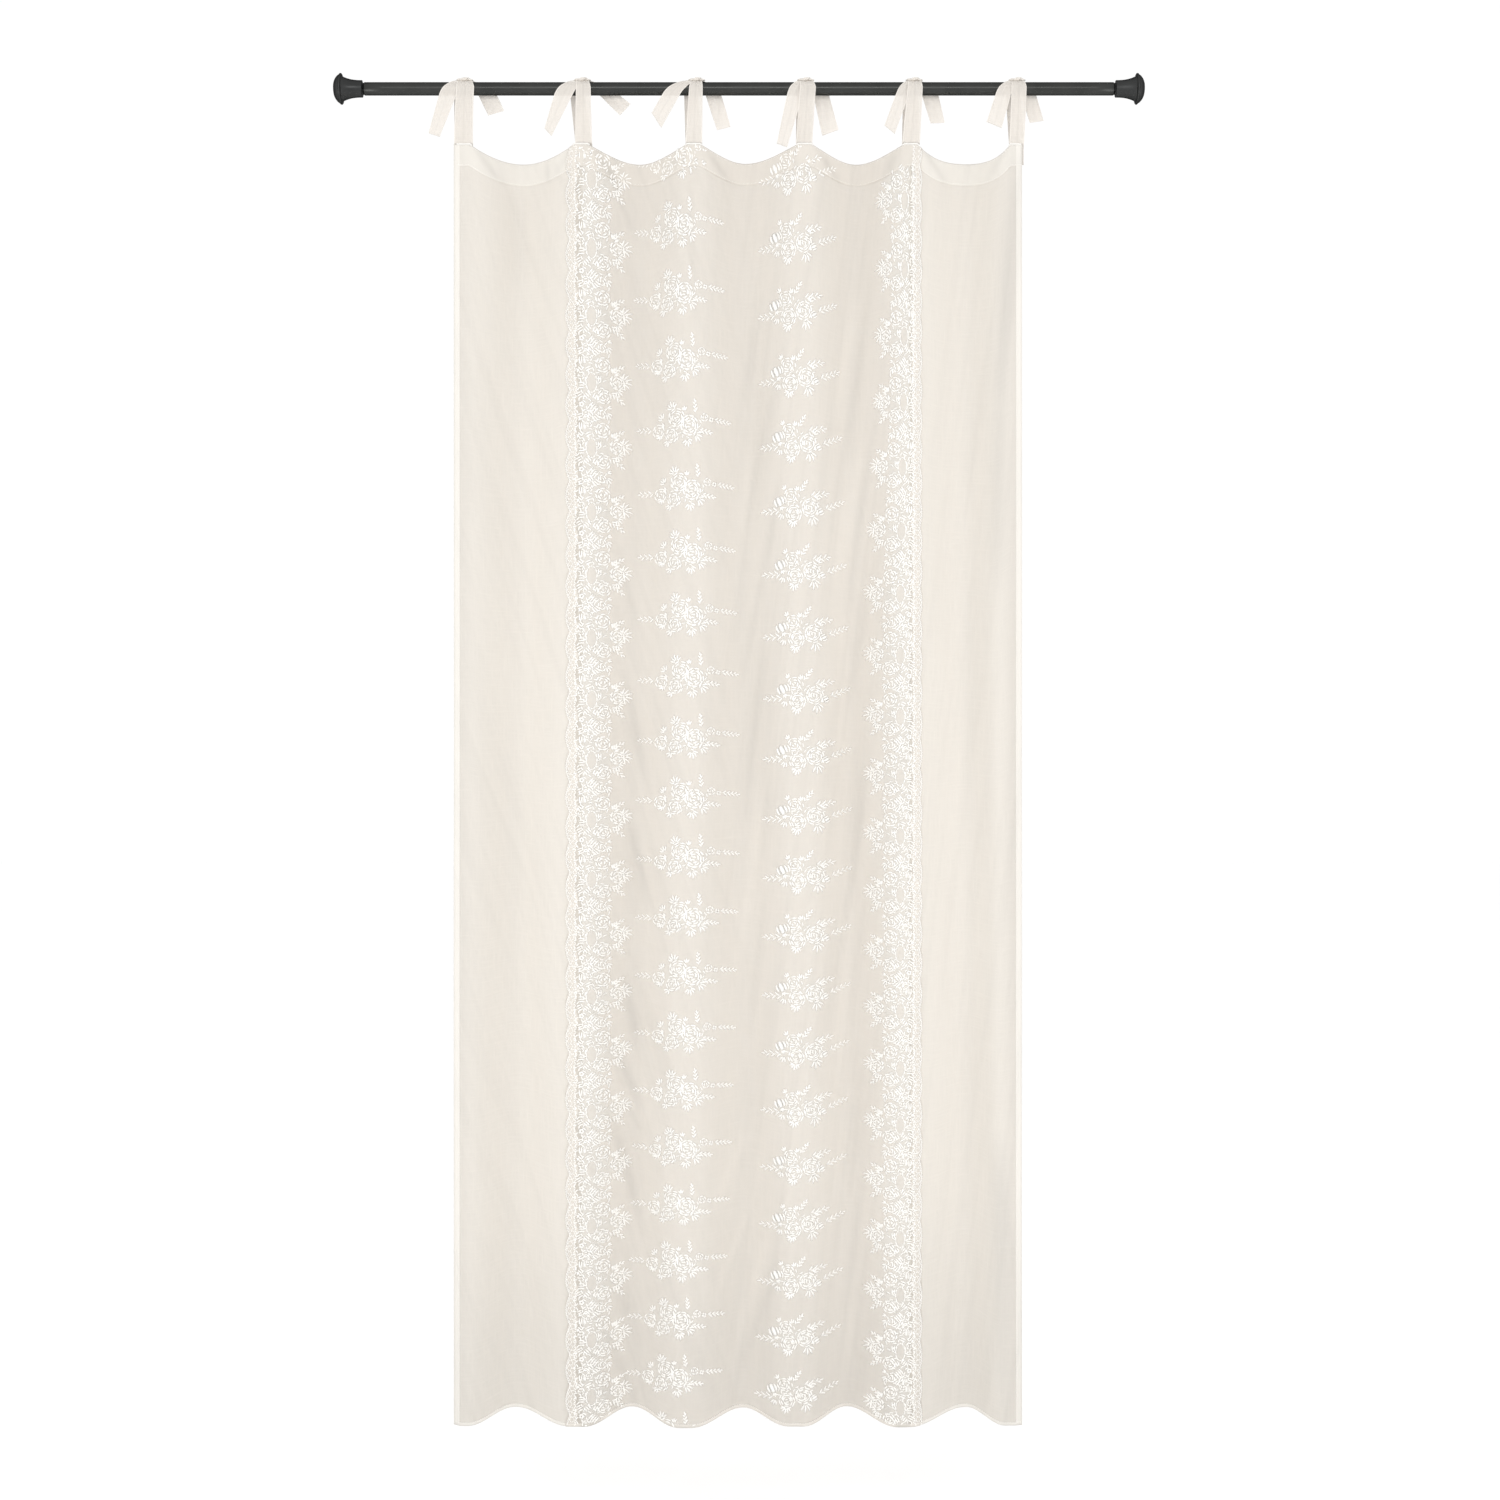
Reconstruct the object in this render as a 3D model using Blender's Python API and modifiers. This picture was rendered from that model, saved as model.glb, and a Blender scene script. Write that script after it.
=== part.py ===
"""A sheer voile curtain hung by six ribbon ties from a metal rod with two turned end caps.

Metres, with +Z up, +X to the viewer's right and the viewer on the -Y side. The origin is the
middle of the rod's axis. The curtain is three panels side by side, two of plain voile and an
embroidered net one that laps over them, with a facing band behind their heading. Between the
ties it swings back and sags, and that wave runs down to the hem.
"""

import math

import bpy
import numpy as np

# Rod and end caps
ROD_RADIUS = 0.014
ROD_HALF_LENGTH = 0.8085
ROD_SIDES = 32
CAP_LENGTH = 0.0610
CAP_FACE_RADIUS = 0.0130
CAP_BELL_RADIUS = 0.0306
CAP_BEAD_RADIUS = 0.0331
CAP_FLARE_RADIUS = 0.0265
CAP_NECK_RADIUS = 0.0182
CAP_BEAD_PLACE = 0.0152
CAP_BEAD_HALF_WIDTH = 0.0024
COLLAR_RADIUS = 0.0125
COLLAR_LENGTH = 0.0043
CAP_STEPS = 24
JOIN_GAP = 0.0003

# Cloth
CLOTH = 0.0011
LAYER = 0.0020
NET_LEFT = -0.3657
NET_RIGHT = 0.3905
SIDE_INNER_LEFT = -0.3376
SIDE_INNER_RIGHT = 0.3676
HEADING_DEPTH = 0.047
COLUMN_WIDTH = 0.0205
PANEL_ROWS = 19
TIE_FLAT = 0.014

# Main folds, left to right. Each is a line from the heading to the hem: its x at both, how far
# back of the rod's axis it hangs, the cloth's z at the heading and at the hem, and how full the
# heading's sag is beside it, from 0 for a wave to 1 for a hanging chain and more for a flat one.
FOLD_COLUMNS = ("name", "x_heading", "x_hem", "back", "z_heading", "z_hem", "fullness")
FOLDS = (
    ("left_edge", -0.6160, -0.6160, 0.002, -0.1190, -2.8840, 0.0),
    ("tie_1", -0.5950, -0.5990, 0.000, -0.1190, -2.8865, 0.0),
    ("scallop_1", -0.4720, -0.4900, 0.057, -0.1485, -2.8620, 1.4),
    ("tie_2", -0.3410, -0.3500, 0.000, -0.1187, -2.8885, 0.0),
    ("scallop_2", -0.2170, -0.2340, 0.060, -0.1485, -2.8610, 1.1),
    ("tie_3", -0.0980, -0.1160, 0.000, -0.1190, -2.8905, 0.0),
    ("scallop_3", 0.0140, 0.0090, 0.055, -0.1480, -2.8620, 1.1),
    ("tie_4", 0.1420, 0.1230, 0.000, -0.1187, -2.8880, 0.0),
    ("scallop_4", 0.2560, 0.2350, 0.060, -0.1485, -2.8610, 1.1),
    ("tie_5", 0.3710, 0.3560, 0.000, -0.1192, -2.8885, 0.0),
    ("scallop_5", 0.4970, 0.4960, 0.054, -0.1485, -2.8615, 2.0),
    ("tie_6", 0.6000, 0.5880, 0.000, -0.1190, -2.8860, 0.0),
    ("right_edge", 0.6113, 0.6113, 0.002, -0.1195, -2.8850, 0.0),
)

# Softer folds that cross the main ones: a line, its half width, and how far back it pushes the
# cloth, less than zero for forward.
CREASE_COLUMNS = ("x_start", "z_start", "x_end", "z_end", "half_width", "back")
CREASES = (
    (-0.484, -0.18, -0.473, -0.42, 0.024, 0.007),
    (-0.538, -0.18, -0.523, -0.62, 0.024, -0.006),
    (0.109, -0.42, 0.012, -1.26, 0.034, -0.007),
    (0.304, -0.32, 0.232, -1.20, 0.030, -0.007),
    (0.290, -0.80, 0.200, -1.86, 0.034, 0.008),
    (0.215, -1.50, 0.088, -2.66, 0.036, -0.008),
    (-0.262, -1.30, -0.150, -1.54, 0.030, 0.006),
    (-0.250, -1.60, -0.140, -1.86, 0.030, 0.006),
    (-0.256, -1.92, -0.150, -2.18, 0.030, 0.005),
    (-0.280, -2.18, -0.170, -2.48, 0.032, 0.006),
    (0.574, -0.20, 0.578, -2.86, 0.022, 0.011),
    (-0.430, -1.20, -0.410, -2.70, 0.034, -0.005),
)

# Ties, left to right: the strap's middle and width at the heading and on the rod, the knot's
# middle, and how far left of the front arm the back arm lies on the rod.
TIE_COLUMNS = ("name", "x_foot", "width_foot", "x_rod", "width_rod", "x_knot", "back_arm_left")
TIES = (
    ("tie_1", -0.5950, 0.0405, -0.5890, 0.0385, -0.5920, 0.009),
    ("tie_2", -0.3352, 0.0362, -0.3348, 0.0315, -0.3380, 0.016),
    ("tie_3", -0.0975, 0.0360, -0.0925, 0.0290, -0.0914, 0.012),
    ("tie_4", 0.1405, 0.0350, 0.1482, 0.0345, 0.1440, 0.006),
    ("tie_5", 0.3713, 0.0380, 0.3790, 0.0325, 0.3782, 0.007),
    ("tie_6", 0.5995, 0.0320, 0.6025, 0.0325, 0.6000, 0.008),
)

# The ties' free ends, left in front of the rod and right behind it: the ribbon's middle and
# width below the rod, the middle of its cut end, and that end's run from left to right corner.
END_COLUMNS = ("tie", "x_rod", "width_rod", "x_end", "z_end", "end_run_x", "end_run_z")
FRONT_ENDS = (
    ("tie_1", -0.6255, 0.0380, -0.6560, -0.1040, 0.0240, -0.0080),
    ("tie_2", -0.3765, 0.0400, -0.4110, -0.0980, 0.0150, -0.0170),
    ("tie_3", -0.1446, 0.0380, -0.1775, -0.0725, 0.0210, -0.0324),
    ("tie_4", 0.1212, 0.0340, 0.0925, -0.1265, 0.0225, -0.0082),
    ("tie_5", 0.3526, 0.0280, 0.3242, -0.0925, 0.0225, -0.0185),
    ("tie_6", 0.5695, 0.0330, 0.5490, -0.0825, 0.0325, -0.0135),
)
BACK_ENDS = (
    ("tie_1", -0.5420, 0.0400, -0.5259, -0.0481, 0.0348, 0.0099),
    ("tie_2", -0.2750, 0.0440, -0.2464, -0.0406, 0.0230, 0.0250),
    ("tie_3", -0.0537, 0.0340, -0.0328, -0.0815, 0.0296, 0.0076),
    ("tie_4", 0.1793, 0.0340, 0.1979, -0.0907, 0.0354, 0.0130),
    ("tie_5", 0.4155, 0.0354, 0.4304, -0.0697, 0.0307, 0.0013),
    ("tie_6", 0.6290, 0.0320, 0.6448, -0.0669, 0.0302, 0.0043),
)

# A tie's ribbon around the rod, and how finely it is cut into rows and columns
STRAP_RADIUS = 0.0169
END_RADIUS = 0.0153
END_LIFT = 0.0028
FOOT_LENGTH = 0.018
FOOT_BACK = 0.0052
ARM_GAP = 0.0020
KNOT_HALF_SIZE = (0.0185, 0.0125, 0.0042)
KNOT_HEIGHT = 0.0186
STRAP_CROWN = 0.0022
STRAP_ROWS = 6
OVER_ROWS = 3
RIBBON_COLUMNS = 2
DROP_ROWS = 3

# Colours
COLOURS = {
    "rod": (0.045, 0.047, 0.046),
    "end_cap": (0.040, 0.042, 0.042),
    "side_panel": (0.88, 0.82, 0.74),
    "net_panel": (0.82, 0.77, 0.70),
    "heading_band": (0.92, 0.88, 0.81),
    "tie": (0.91, 0.86, 0.78),
}


def clear_scene():
    for thing in list(bpy.data.objects):
        bpy.data.objects.remove(thing)


def new_collection(name):
    collection = bpy.data.collections.new(name)
    bpy.context.scene.collection.children.link(collection)
    return collection


def make_material(name, colour, roughness, metallic=0.0):
    material = bpy.data.materials.new(name)
    material.use_nodes = True
    shader = material.node_tree.nodes["Principled BSDF"]
    shader.inputs["Base Color"].default_value = (*colour, 1.0)
    shader.inputs["Roughness"].default_value = roughness
    shader.inputs["Metallic"].default_value = metallic
    material.diffuse_color = (*colour, 1.0)
    return material


def finish(thing, name, collection, material):
    """Names an object, moves it into its collection and gives it its material."""
    thing.name = thing.data.name = name
    for owner in list(thing.users_collection):
        owner.objects.unlink(thing)
    collection.objects.link(thing)
    thing.data.materials.clear()
    thing.data.materials.append(material)
    return thing


def table(columns, rows):
    return {row[0]: dict(zip(columns, row)) for row in rows}


def ease(share):
    """0 to 1 with level ends: half a cosine wave."""
    return (1.0 - np.cos(np.pi * np.clip(share, 0.0, 1.0))) / 2.0


def between_folds(x, hang):
    """For each x at the share hang of the drop, the main fold on its left and the share of the
    way from that fold to the next one."""
    x_heading, x_hem = fold_column("x_heading"), fold_column("x_hem")
    lines = x_heading + (x_hem - x_heading) * np.asarray(hang)[..., None]
    left = np.clip((lines < np.asarray(x)[..., None]).sum(-1) - 1, 0, len(FOLDS) - 2)
    x_left = np.take_along_axis(lines, left[..., None], -1)[..., 0]
    x_right = np.take_along_axis(lines, left[..., None] + 1, -1)[..., 0]
    flat = np.minimum(TIE_FLAT, 0.2 * (x_right - x_left))
    from_tie = left % 2 == 1
    start = x_left + np.where(from_tie, flat, 0.0)
    end = x_right - np.where(from_tie, 0.0, flat)
    return left, np.clip((x - start) / (end - start), 0.0, 1.0)


def fold_column(column):
    return np.array([fold[FOLD_COLUMNS.index(column)] for fold in FOLDS])


def fold_value(column, x, hang, sags=False):
    """A column of FOLDS read at x: half a cosine from fold to fold. Where it sags, fullness moves
    it towards a hanging chain's curve, steep at the ties and level at the scallops."""
    values = fold_column(column)
    left, share = between_folds(x, hang)
    to_scallop = left % 2 == 1
    level = ease(share)
    if sags:
        rise = np.where(to_scallop, share, 1.0 - share)
        chain = 1.0 - (1.0 - rise) ** 2
        chain = np.where(to_scallop, chain, 1.0 - chain)
        fullness = fold_column("fullness")[left + left % 2]
        level = level + fullness * (chain - level)
    return values[left] + (values[left + 1] - values[left]) * level


def crease_value(x, z):
    """How far back the softer folds push the cloth: a bell across each line, fading at its ends."""
    total = np.zeros_like(x)
    for row in CREASES:
        crease = dict(zip(CREASE_COLUMNS, row))
        run_x = crease["x_end"] - crease["x_start"]
        run_z = crease["z_end"] - crease["z_start"]
        length = math.hypot(run_x, run_z)
        along = ((x - crease["x_start"]) * run_x + (z - crease["z_start"]) * run_z) / length**2
        across = ((x - crease["x_start"]) * run_z - (z - crease["z_start"]) * run_x) / length
        bell = np.exp(-((across / crease["half_width"]) ** 2))
        total += crease["back"] * bell * np.sin(np.pi * np.clip(along, 0.0, 1.0)) ** 0.8
    return total


def cloth_points(x, below):
    """Points of the curtain's surface at x, and below from 0 at the heading to 1 at the hem."""
    top = fold_value("z_heading", x, np.zeros_like(x), sags=True)
    hem = fold_value("z_hem", x, np.ones_like(x))
    z = top + (hem - top) * below
    y = fold_value("back", x, below) + crease_value(x, z)
    return np.stack([x, y, z], -1)


def column_stations():
    """The x of every column of the curtain, with one on each panel's edge."""
    edges = (FOLDS[0][1], NET_LEFT, SIDE_INNER_LEFT, SIDE_INNER_RIGHT, NET_RIGHT, FOLDS[-1][1])
    stations = [edges[0]]
    for start, end in zip(edges, edges[1:]):
        count = max(2, round((end - start) / COLUMN_WIDTH))
        stations += list(np.linspace(start, end, count + 1)[1:])
    return np.array(stations)


def row_levels():
    """Shares of the drop with a row on the heading band's lower edge, then even rows."""
    drop = FOLDS[1][4] - FOLDS[1][5]
    band = HEADING_DEPTH / drop
    return np.concatenate([[0.0], np.linspace(band, 1.0, PANEL_ROWS)])


def sheet_of_points(name, points, collection, material, offset):
    """A grid primitive with its vertices moved to points[row, column], made CLOTH thick."""
    rows, columns = points.shape[0] - 1, points.shape[1] - 1
    bpy.ops.mesh.primitive_grid_add(x_subdivisions=columns, y_subdivisions=rows, size=1.0)
    sheet = bpy.context.object
    place = np.empty(len(sheet.data.vertices) * 3)
    sheet.data.vertices.foreach_get("co", place)
    place = place.reshape(-1, 3)
    column = np.rint((place[:, 0] + 0.5) * columns).astype(int)
    row = np.rint((0.5 - place[:, 1]) * rows).astype(int)
    sheet.data.vertices.foreach_set("co", points[row, column].ravel())
    sheet.data.update()
    solidify = sheet.modifiers.new("thickness", "SOLIDIFY")
    solidify.thickness = CLOTH
    solidify.offset = offset
    return finish(sheet, name, collection, material)


def make_panel(name, left, right, layer, depth_rows, collection, material):
    """One sheet of the curtain between two x, layer times LAYER behind the panels' plane."""
    stations = column_stations()
    stations = stations[(stations > left - 1e-6) & (stations < right + 1e-6)]
    levels = row_levels()[:depth_rows]
    x, below = np.meshgrid(stations, levels)
    points = cloth_points(x, below)
    points[..., 1] += layer * LAYER
    return sheet_of_points(name, points, collection, material, offset=-1.0)


def ribbon_points(centre, half_run, crown):
    """Points across a ribbon: its middle line, half its run from left to right at each row, and
    how far its middle bulges along Y."""
    across = np.linspace(-1.0, 1.0, RIBBON_COLUMNS + 1)
    points = centre[:, None, :] + across[None, :, None] * half_run[:, None, :]
    points[..., 1] += crown[:, None] * (1.0 - across[None, :] ** 2)
    return points


def arm_rows(tie, side, foot_y):
    """One arm of the strap from its sewn foot to the rod's top: its rows' middle, half run and
    bulge. side is -1 for the front arm and 1 for the back one."""
    shift = -tie["back_arm_left"] if side > 0 else 0.0
    x_rod = tie["x_rod"] + shift
    z_heading = FOLDS[1][4]
    foot = np.array([z_heading - FOOT_LENGTH, z_heading + 0.001])
    rise = np.linspace(z_heading + 0.001, 0.0, STRAP_ROWS + 1)[1:]
    z = np.concatenate([foot, rise])
    share = np.clip((z - z_heading) / -z_heading, 0.0, 1.0)
    y = foot_y + (side * STRAP_RADIUS - foot_y) * ease(share) ** 0.8
    x = tie["x_foot"] + (x_rod - tie["x_foot"]) * share
    width = tie["width_foot"] + (tie["width_rod"] - tie["width_foot"]) * share
    turn = np.linspace(0.0, 0.5 * math.pi, OVER_ROWS + 1)[1:]
    x_over = x_rod + (tie["x_knot"] - x_rod) * turn / (0.5 * math.pi)
    width_over = tie["width_rod"] * (1.0 - 0.25 * turn / (0.5 * math.pi))
    x = np.concatenate([x, x_over])
    y = np.concatenate([y, side * STRAP_RADIUS * np.cos(turn)])
    z = np.concatenate([z, STRAP_RADIUS * np.sin(turn)])
    width = np.concatenate([width, width_over])
    crown = side * STRAP_CROWN * np.sin(np.pi * np.concatenate([share, np.zeros(OVER_ROWS)]))
    half_run = np.stack([width / 2, np.zeros_like(width), np.zeros_like(width)], -1)
    return np.stack([x, y, z], -1), half_run, crown


def strap_points(tie):
    """The strap's whole loop: up the front arm, over the rod and down the back arm. Its foot lies
    against the back of the heading, in the cloth's own curve."""
    front = arm_rows(tie, -1, FOOT_BACK)
    back = arm_rows(tie, 1, FOOT_BACK + ARM_GAP)
    loop = [np.concatenate([f, b[::-1][1:]]) for f, b in zip(front, back)]
    points = ribbon_points(*loop)
    x, y, z = np.moveaxis(points, -1, 0)
    near_heading = 1.0 - ease(1.5 * (z - FOLDS[1][4]) / -FOLDS[1][4])
    curve = fold_value("back", x, np.zeros_like(x)) + crease_value(x, np.full_like(x, FOLDS[1][4]))
    y += curve * near_heading
    return points


def end_points(tie, end, side):
    """A free end: from the knot over the rod's shoulder, then hanging straight to its cut end. Its
    middle line leaves the knot on a parabola in x that meets the straight part at the rod's
    underside."""
    turn = np.linspace(0.5 * math.pi, 0.0, OVER_ROWS + 1)
    radius = END_RADIUS + END_LIFT * (turn / (0.5 * math.pi)) ** 2
    drop = np.linspace(0.0, 1.0, DROP_ROWS + 1)[1:]
    arc = END_RADIUS * 0.5 * math.pi
    along = np.concatenate([arc * (1.0 - turn / (0.5 * math.pi)), arc - end["z_end"] * drop])
    to_underside = arc + ROD_RADIUS
    slope = (end["x_end"] - end["x_rod"]) / (-end["z_end"] - ROD_RADIUS)
    bend = (tie["x_knot"] - end["x_rod"] + slope * to_underside) / to_underside**2
    above = np.clip(to_underside - along, 0.0, None)
    x = end["x_rod"] + slope * (along - to_underside) + bend * above**2
    y = side * np.concatenate([radius * np.cos(turn), np.full(DROP_ROWS, END_RADIUS)])
    z = np.concatenate([radius * np.sin(turn), end["z_end"] * drop])
    low = np.concatenate([np.zeros(OVER_ROWS + 1), drop])
    low = np.clip((low * -end["z_end"] - ROD_RADIUS) / (-end["z_end"] - ROD_RADIUS), 0.0, 1.0)
    narrow = 0.6 + 0.4 * np.clip(along / arc, 0.0, 1.0)
    run_x = (end["width_rod"] + (end["end_run_x"] - end["width_rod"]) * low) * narrow
    half_run = np.stack([run_x, np.zeros_like(low), end["end_run_z"] * low], -1) / 2
    crown = side * STRAP_CROWN * np.sin(np.pi * low)
    return ribbon_points(np.stack([x, y, z], -1), half_run, crown)


def join_to(thing, operand):
    union = thing.modifiers.new(f"join_{operand.name}", "BOOLEAN")
    union.operation = "UNION"
    union.solver = "EXACT"
    union.object = operand
    operand.hide_render = True
    operand.display_type = "WIRE"


def make_knot(tie, cutters, material):
    bpy.ops.mesh.primitive_uv_sphere_add(segments=12, ring_count=6, radius=1.0)
    knot = bpy.context.object
    knot.scale = KNOT_HALF_SIZE
    knot.location = (tie["x_knot"], 0.0, KNOT_HEIGHT)
    return finish(knot, f"{tie['name']}_knot", cutters, material)


def make_tie(tie, front_end, back_end, parts, cutters, material):
    """A ribbon knotted on the rod: the strap's loop, its knot and its two free ends in one."""
    name = tie["name"]
    strap = sheet_of_points(name, strap_points(tie), parts, material, offset=0.0)
    join_to(strap, make_knot(tie, cutters, material))
    for label, end, side in (("front_end", front_end, -1), ("back_end", back_end, 1)):
        points = end_points(tie, end, side)
        join_to(strap, sheet_of_points(f"{name}_{label}", points, cutters, material, offset=0.0))
    return strap


def make_rod(collection, material):
    bpy.ops.mesh.primitive_cylinder_add(
        vertices=ROD_SIDES, radius=ROD_RADIUS, depth=2 * ROD_HALF_LENGTH, rotation=(0.0, math.pi / 2, 0.0)
    )
    return finish(bpy.context.object, "rod", collection, material)


def cap_profile():
    """Radius against distance from the outer face: a level face, a rounded shoulder, a bead, a
    flare that narrows to the neck, and the collar that meets the rod."""
    shoulder = np.linspace(0.0, 1.0, 6) ** 1.6
    shoulder_z = (CAP_BEAD_PLACE - CAP_BEAD_HALF_WIDTH) * shoulder
    rounding = (1.0 - (1.0 - shoulder) ** 1.5) ** (1 / 1.5)
    shoulder_r = CAP_FACE_RADIUS + (CAP_BELL_RADIUS - CAP_FACE_RADIUS) * rounding
    bead_turn = np.linspace(0.25, math.pi - 0.25, 3)
    bead_z = CAP_BEAD_PLACE - CAP_BEAD_HALF_WIDTH * np.cos(bead_turn)
    bead_r = CAP_BELL_RADIUS + (CAP_BEAD_RADIUS - CAP_BELL_RADIUS) * np.sin(bead_turn)
    flare = np.linspace(0.0, 1.0, 7)
    flare_start = CAP_BEAD_PLACE + 1.4 * CAP_BEAD_HALF_WIDTH
    flare_z = flare_start + (CAP_LENGTH - flare_start) * flare
    flare_r = CAP_NECK_RADIUS + (CAP_FLARE_RADIUS - CAP_NECK_RADIUS) * (1.0 - flare) ** 2.6
    collar_end = CAP_LENGTH + COLLAR_LENGTH
    z = [0.0, *shoulder_z, *bead_z, *flare_z, CAP_LENGTH, collar_end, collar_end]
    r = [0.0, *shoulder_r, *bead_r, *flare_r, COLLAR_RADIUS, COLLAR_RADIUS, 0.0]
    return list(zip(r, z))


def make_cap(name, side, collection, material):
    """A turned cap with its outer face level, its collar JOIN_GAP from the rod's end."""
    profile = cap_profile()
    mesh = bpy.data.meshes.new(name)
    mesh.from_pydata([(r, 0.0, -z) for r, z in profile], [(i, i + 1) for i in range(len(profile) - 1)], [])
    cap = bpy.data.objects.new(name, mesh)
    bpy.context.scene.collection.objects.link(cap)
    cap.rotation_euler = (0.0, side * math.pi / 2, 0.0)
    outer_face = ROD_HALF_LENGTH + JOIN_GAP + COLLAR_LENGTH + CAP_LENGTH
    cap.location = (side * outer_face, 0.0, 0.0)
    screw = cap.modifiers.new("turn", "SCREW")
    screw.axis = "Z"
    screw.steps = screw.render_steps = CAP_STEPS
    screw.use_merge_vertices = True
    screw.merge_threshold = 0.00001
    screw.use_normal_calculate = True
    return finish(cap, name, collection, material)


clear_scene()
curtain = new_collection("sheer_voile_curtain_on_rod")
joined_pieces = new_collection("joined_pieces")

rod_metal = make_material("rod_metal", COLOURS["rod"], 0.42, 0.9)
cap_metal = make_material("cap_metal", COLOURS["end_cap"], 0.5, 0.8)
side_voile = make_material("side_voile", COLOURS["side_panel"], 0.9)
net_cloth = make_material("net_cloth", COLOURS["net_panel"], 0.9)
band_cloth = make_material("band_cloth", COLOURS["heading_band"], 0.9)
tie_ribbon = make_material("tie_ribbon", COLOURS["tie"], 0.85)

make_rod(curtain, rod_metal)
make_cap("end_cap_left", -1, curtain, cap_metal)
make_cap("end_cap_right", 1, curtain, cap_metal)

LEFT, RIGHT = FOLDS[0][1], FOLDS[-1][1]
ALL_ROWS = PANEL_ROWS + 1
BAND_ROWS = 2
make_panel("net_panel", NET_LEFT, NET_RIGHT, -1, ALL_ROWS, curtain, net_cloth)
make_panel("side_panel_left", LEFT, SIDE_INNER_LEFT, 0, ALL_ROWS, curtain, side_voile)
make_panel("side_panel_right", SIDE_INNER_RIGHT, RIGHT, 0, ALL_ROWS, curtain, side_voile)
make_panel("heading_band", LEFT, RIGHT, 1, BAND_ROWS, curtain, band_cloth)

front_ends = table(END_COLUMNS, FRONT_ENDS)
back_ends = table(END_COLUMNS, BACK_ENDS)
for tie_name, tie_row in table(TIE_COLUMNS, TIES).items():
    make_tie(tie_row, front_ends[tie_name], back_ends[tie_name], curtain, joined_pieces, tie_ribbon)
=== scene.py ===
"""Looks of a sheer voile curtain: plain voile sides, an embroidered net centre, ribbon ties, rod.

Metres, with +Z up and +X to the viewer's right. The origin is the middle of the rod's axis.
"""

import math

import bpy
import numpy as np
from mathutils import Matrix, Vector


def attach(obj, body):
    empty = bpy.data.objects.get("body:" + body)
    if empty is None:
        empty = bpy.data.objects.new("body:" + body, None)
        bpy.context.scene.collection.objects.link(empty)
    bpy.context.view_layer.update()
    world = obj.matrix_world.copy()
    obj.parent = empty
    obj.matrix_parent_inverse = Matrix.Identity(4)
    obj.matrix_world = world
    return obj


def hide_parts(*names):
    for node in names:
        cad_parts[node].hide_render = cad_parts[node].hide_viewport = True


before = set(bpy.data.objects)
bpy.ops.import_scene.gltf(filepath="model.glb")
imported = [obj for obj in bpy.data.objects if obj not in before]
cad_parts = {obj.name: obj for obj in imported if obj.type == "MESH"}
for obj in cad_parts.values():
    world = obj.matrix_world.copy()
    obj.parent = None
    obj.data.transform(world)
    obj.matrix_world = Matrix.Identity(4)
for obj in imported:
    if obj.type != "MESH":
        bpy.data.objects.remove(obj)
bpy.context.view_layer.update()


# ------------------------------------------------------------------ camera, floor and light
# The camera stands level in front of the curtain at the height of its middle. A pale floor lies
# well below the hem, where no shadow of the curtain shows, and the surround is white. A big soft
# lamp stands on each side, and a wide one behind the camera lights the front of the rod.
CAMERA_PLACE = (0.0238, -4.8, -1.4273)
CAMERA_LENS = 53.36
CAMERA_FILM = 36.0
FLOOR_Z = -3.180
FLOOR_SIZE = 60.0
SURROUND = 1.02
LAMP_COLUMNS = ("name", "place", "aim", "width", "height", "watts")
LAMPS = (
    ("lamp_left", (-2.4, -1.4, -1.42), (0.0, 0.0, -1.42), 0.9, 1.1, 12.0),
    ("lamp_right", (2.4, -1.4, -1.42), (0.0, 0.0, -1.42), 0.9, 1.1, 12.0),
    ("lamp_front", (0.0, -5.8, 0.9), (0.0, 0.0, -0.6), 3.0, 0.4, 50.0),
)


def aimed(place, aim):
    """The turn that points an object's -Z from place to aim with its +Y up."""
    return (Vector(aim) - Vector(place)).to_track_quat("-Z", "Y").to_euler()


scene = bpy.context.scene
scene.view_settings.view_transform = "Standard"

camera = bpy.data.objects.new("camera", bpy.data.cameras.new("camera"))
camera.data.lens = CAMERA_LENS
camera.data.sensor_width = CAMERA_FILM
camera.location = CAMERA_PLACE
camera.rotation_euler = (math.pi / 2, 0.0, 0.0)
scene.collection.objects.link(camera)
scene.camera = camera

for row in LAMPS:
    lamp = dict(zip(LAMP_COLUMNS, row))
    light = bpy.data.lights.new(lamp["name"], "AREA")
    light.shape = "RECTANGLE"
    light.size, light.size_y = lamp["width"], lamp["height"]
    light.energy = lamp["watts"]
    lit = bpy.data.objects.new(lamp["name"], light)
    lit.location = lamp["place"]
    lit.rotation_euler = aimed(lamp["place"], lamp["aim"])
    scene.collection.objects.link(lit)

surround = bpy.data.worlds.new("white_surround")
surround.use_nodes = True
surround.node_tree.nodes["Background"].inputs["Color"].default_value = (1.0, 1.0, 1.0, 1.0)
surround.node_tree.nodes["Background"].inputs["Strength"].default_value = SURROUND
scene.world = surround


def new_material(name, roughness, specular=0.5, metallic=0.0):
    """A material with a Principled shader. Returns it, its node tree and that shader."""
    material = bpy.data.materials.new(name)
    material.use_nodes = True
    shader = material.node_tree.nodes["Principled BSDF"]
    shader.inputs["Roughness"].default_value = roughness
    shader.inputs["Specular IOR Level"].default_value = specular
    shader.inputs["Metallic"].default_value = metallic
    return material, material.node_tree, shader


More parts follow.
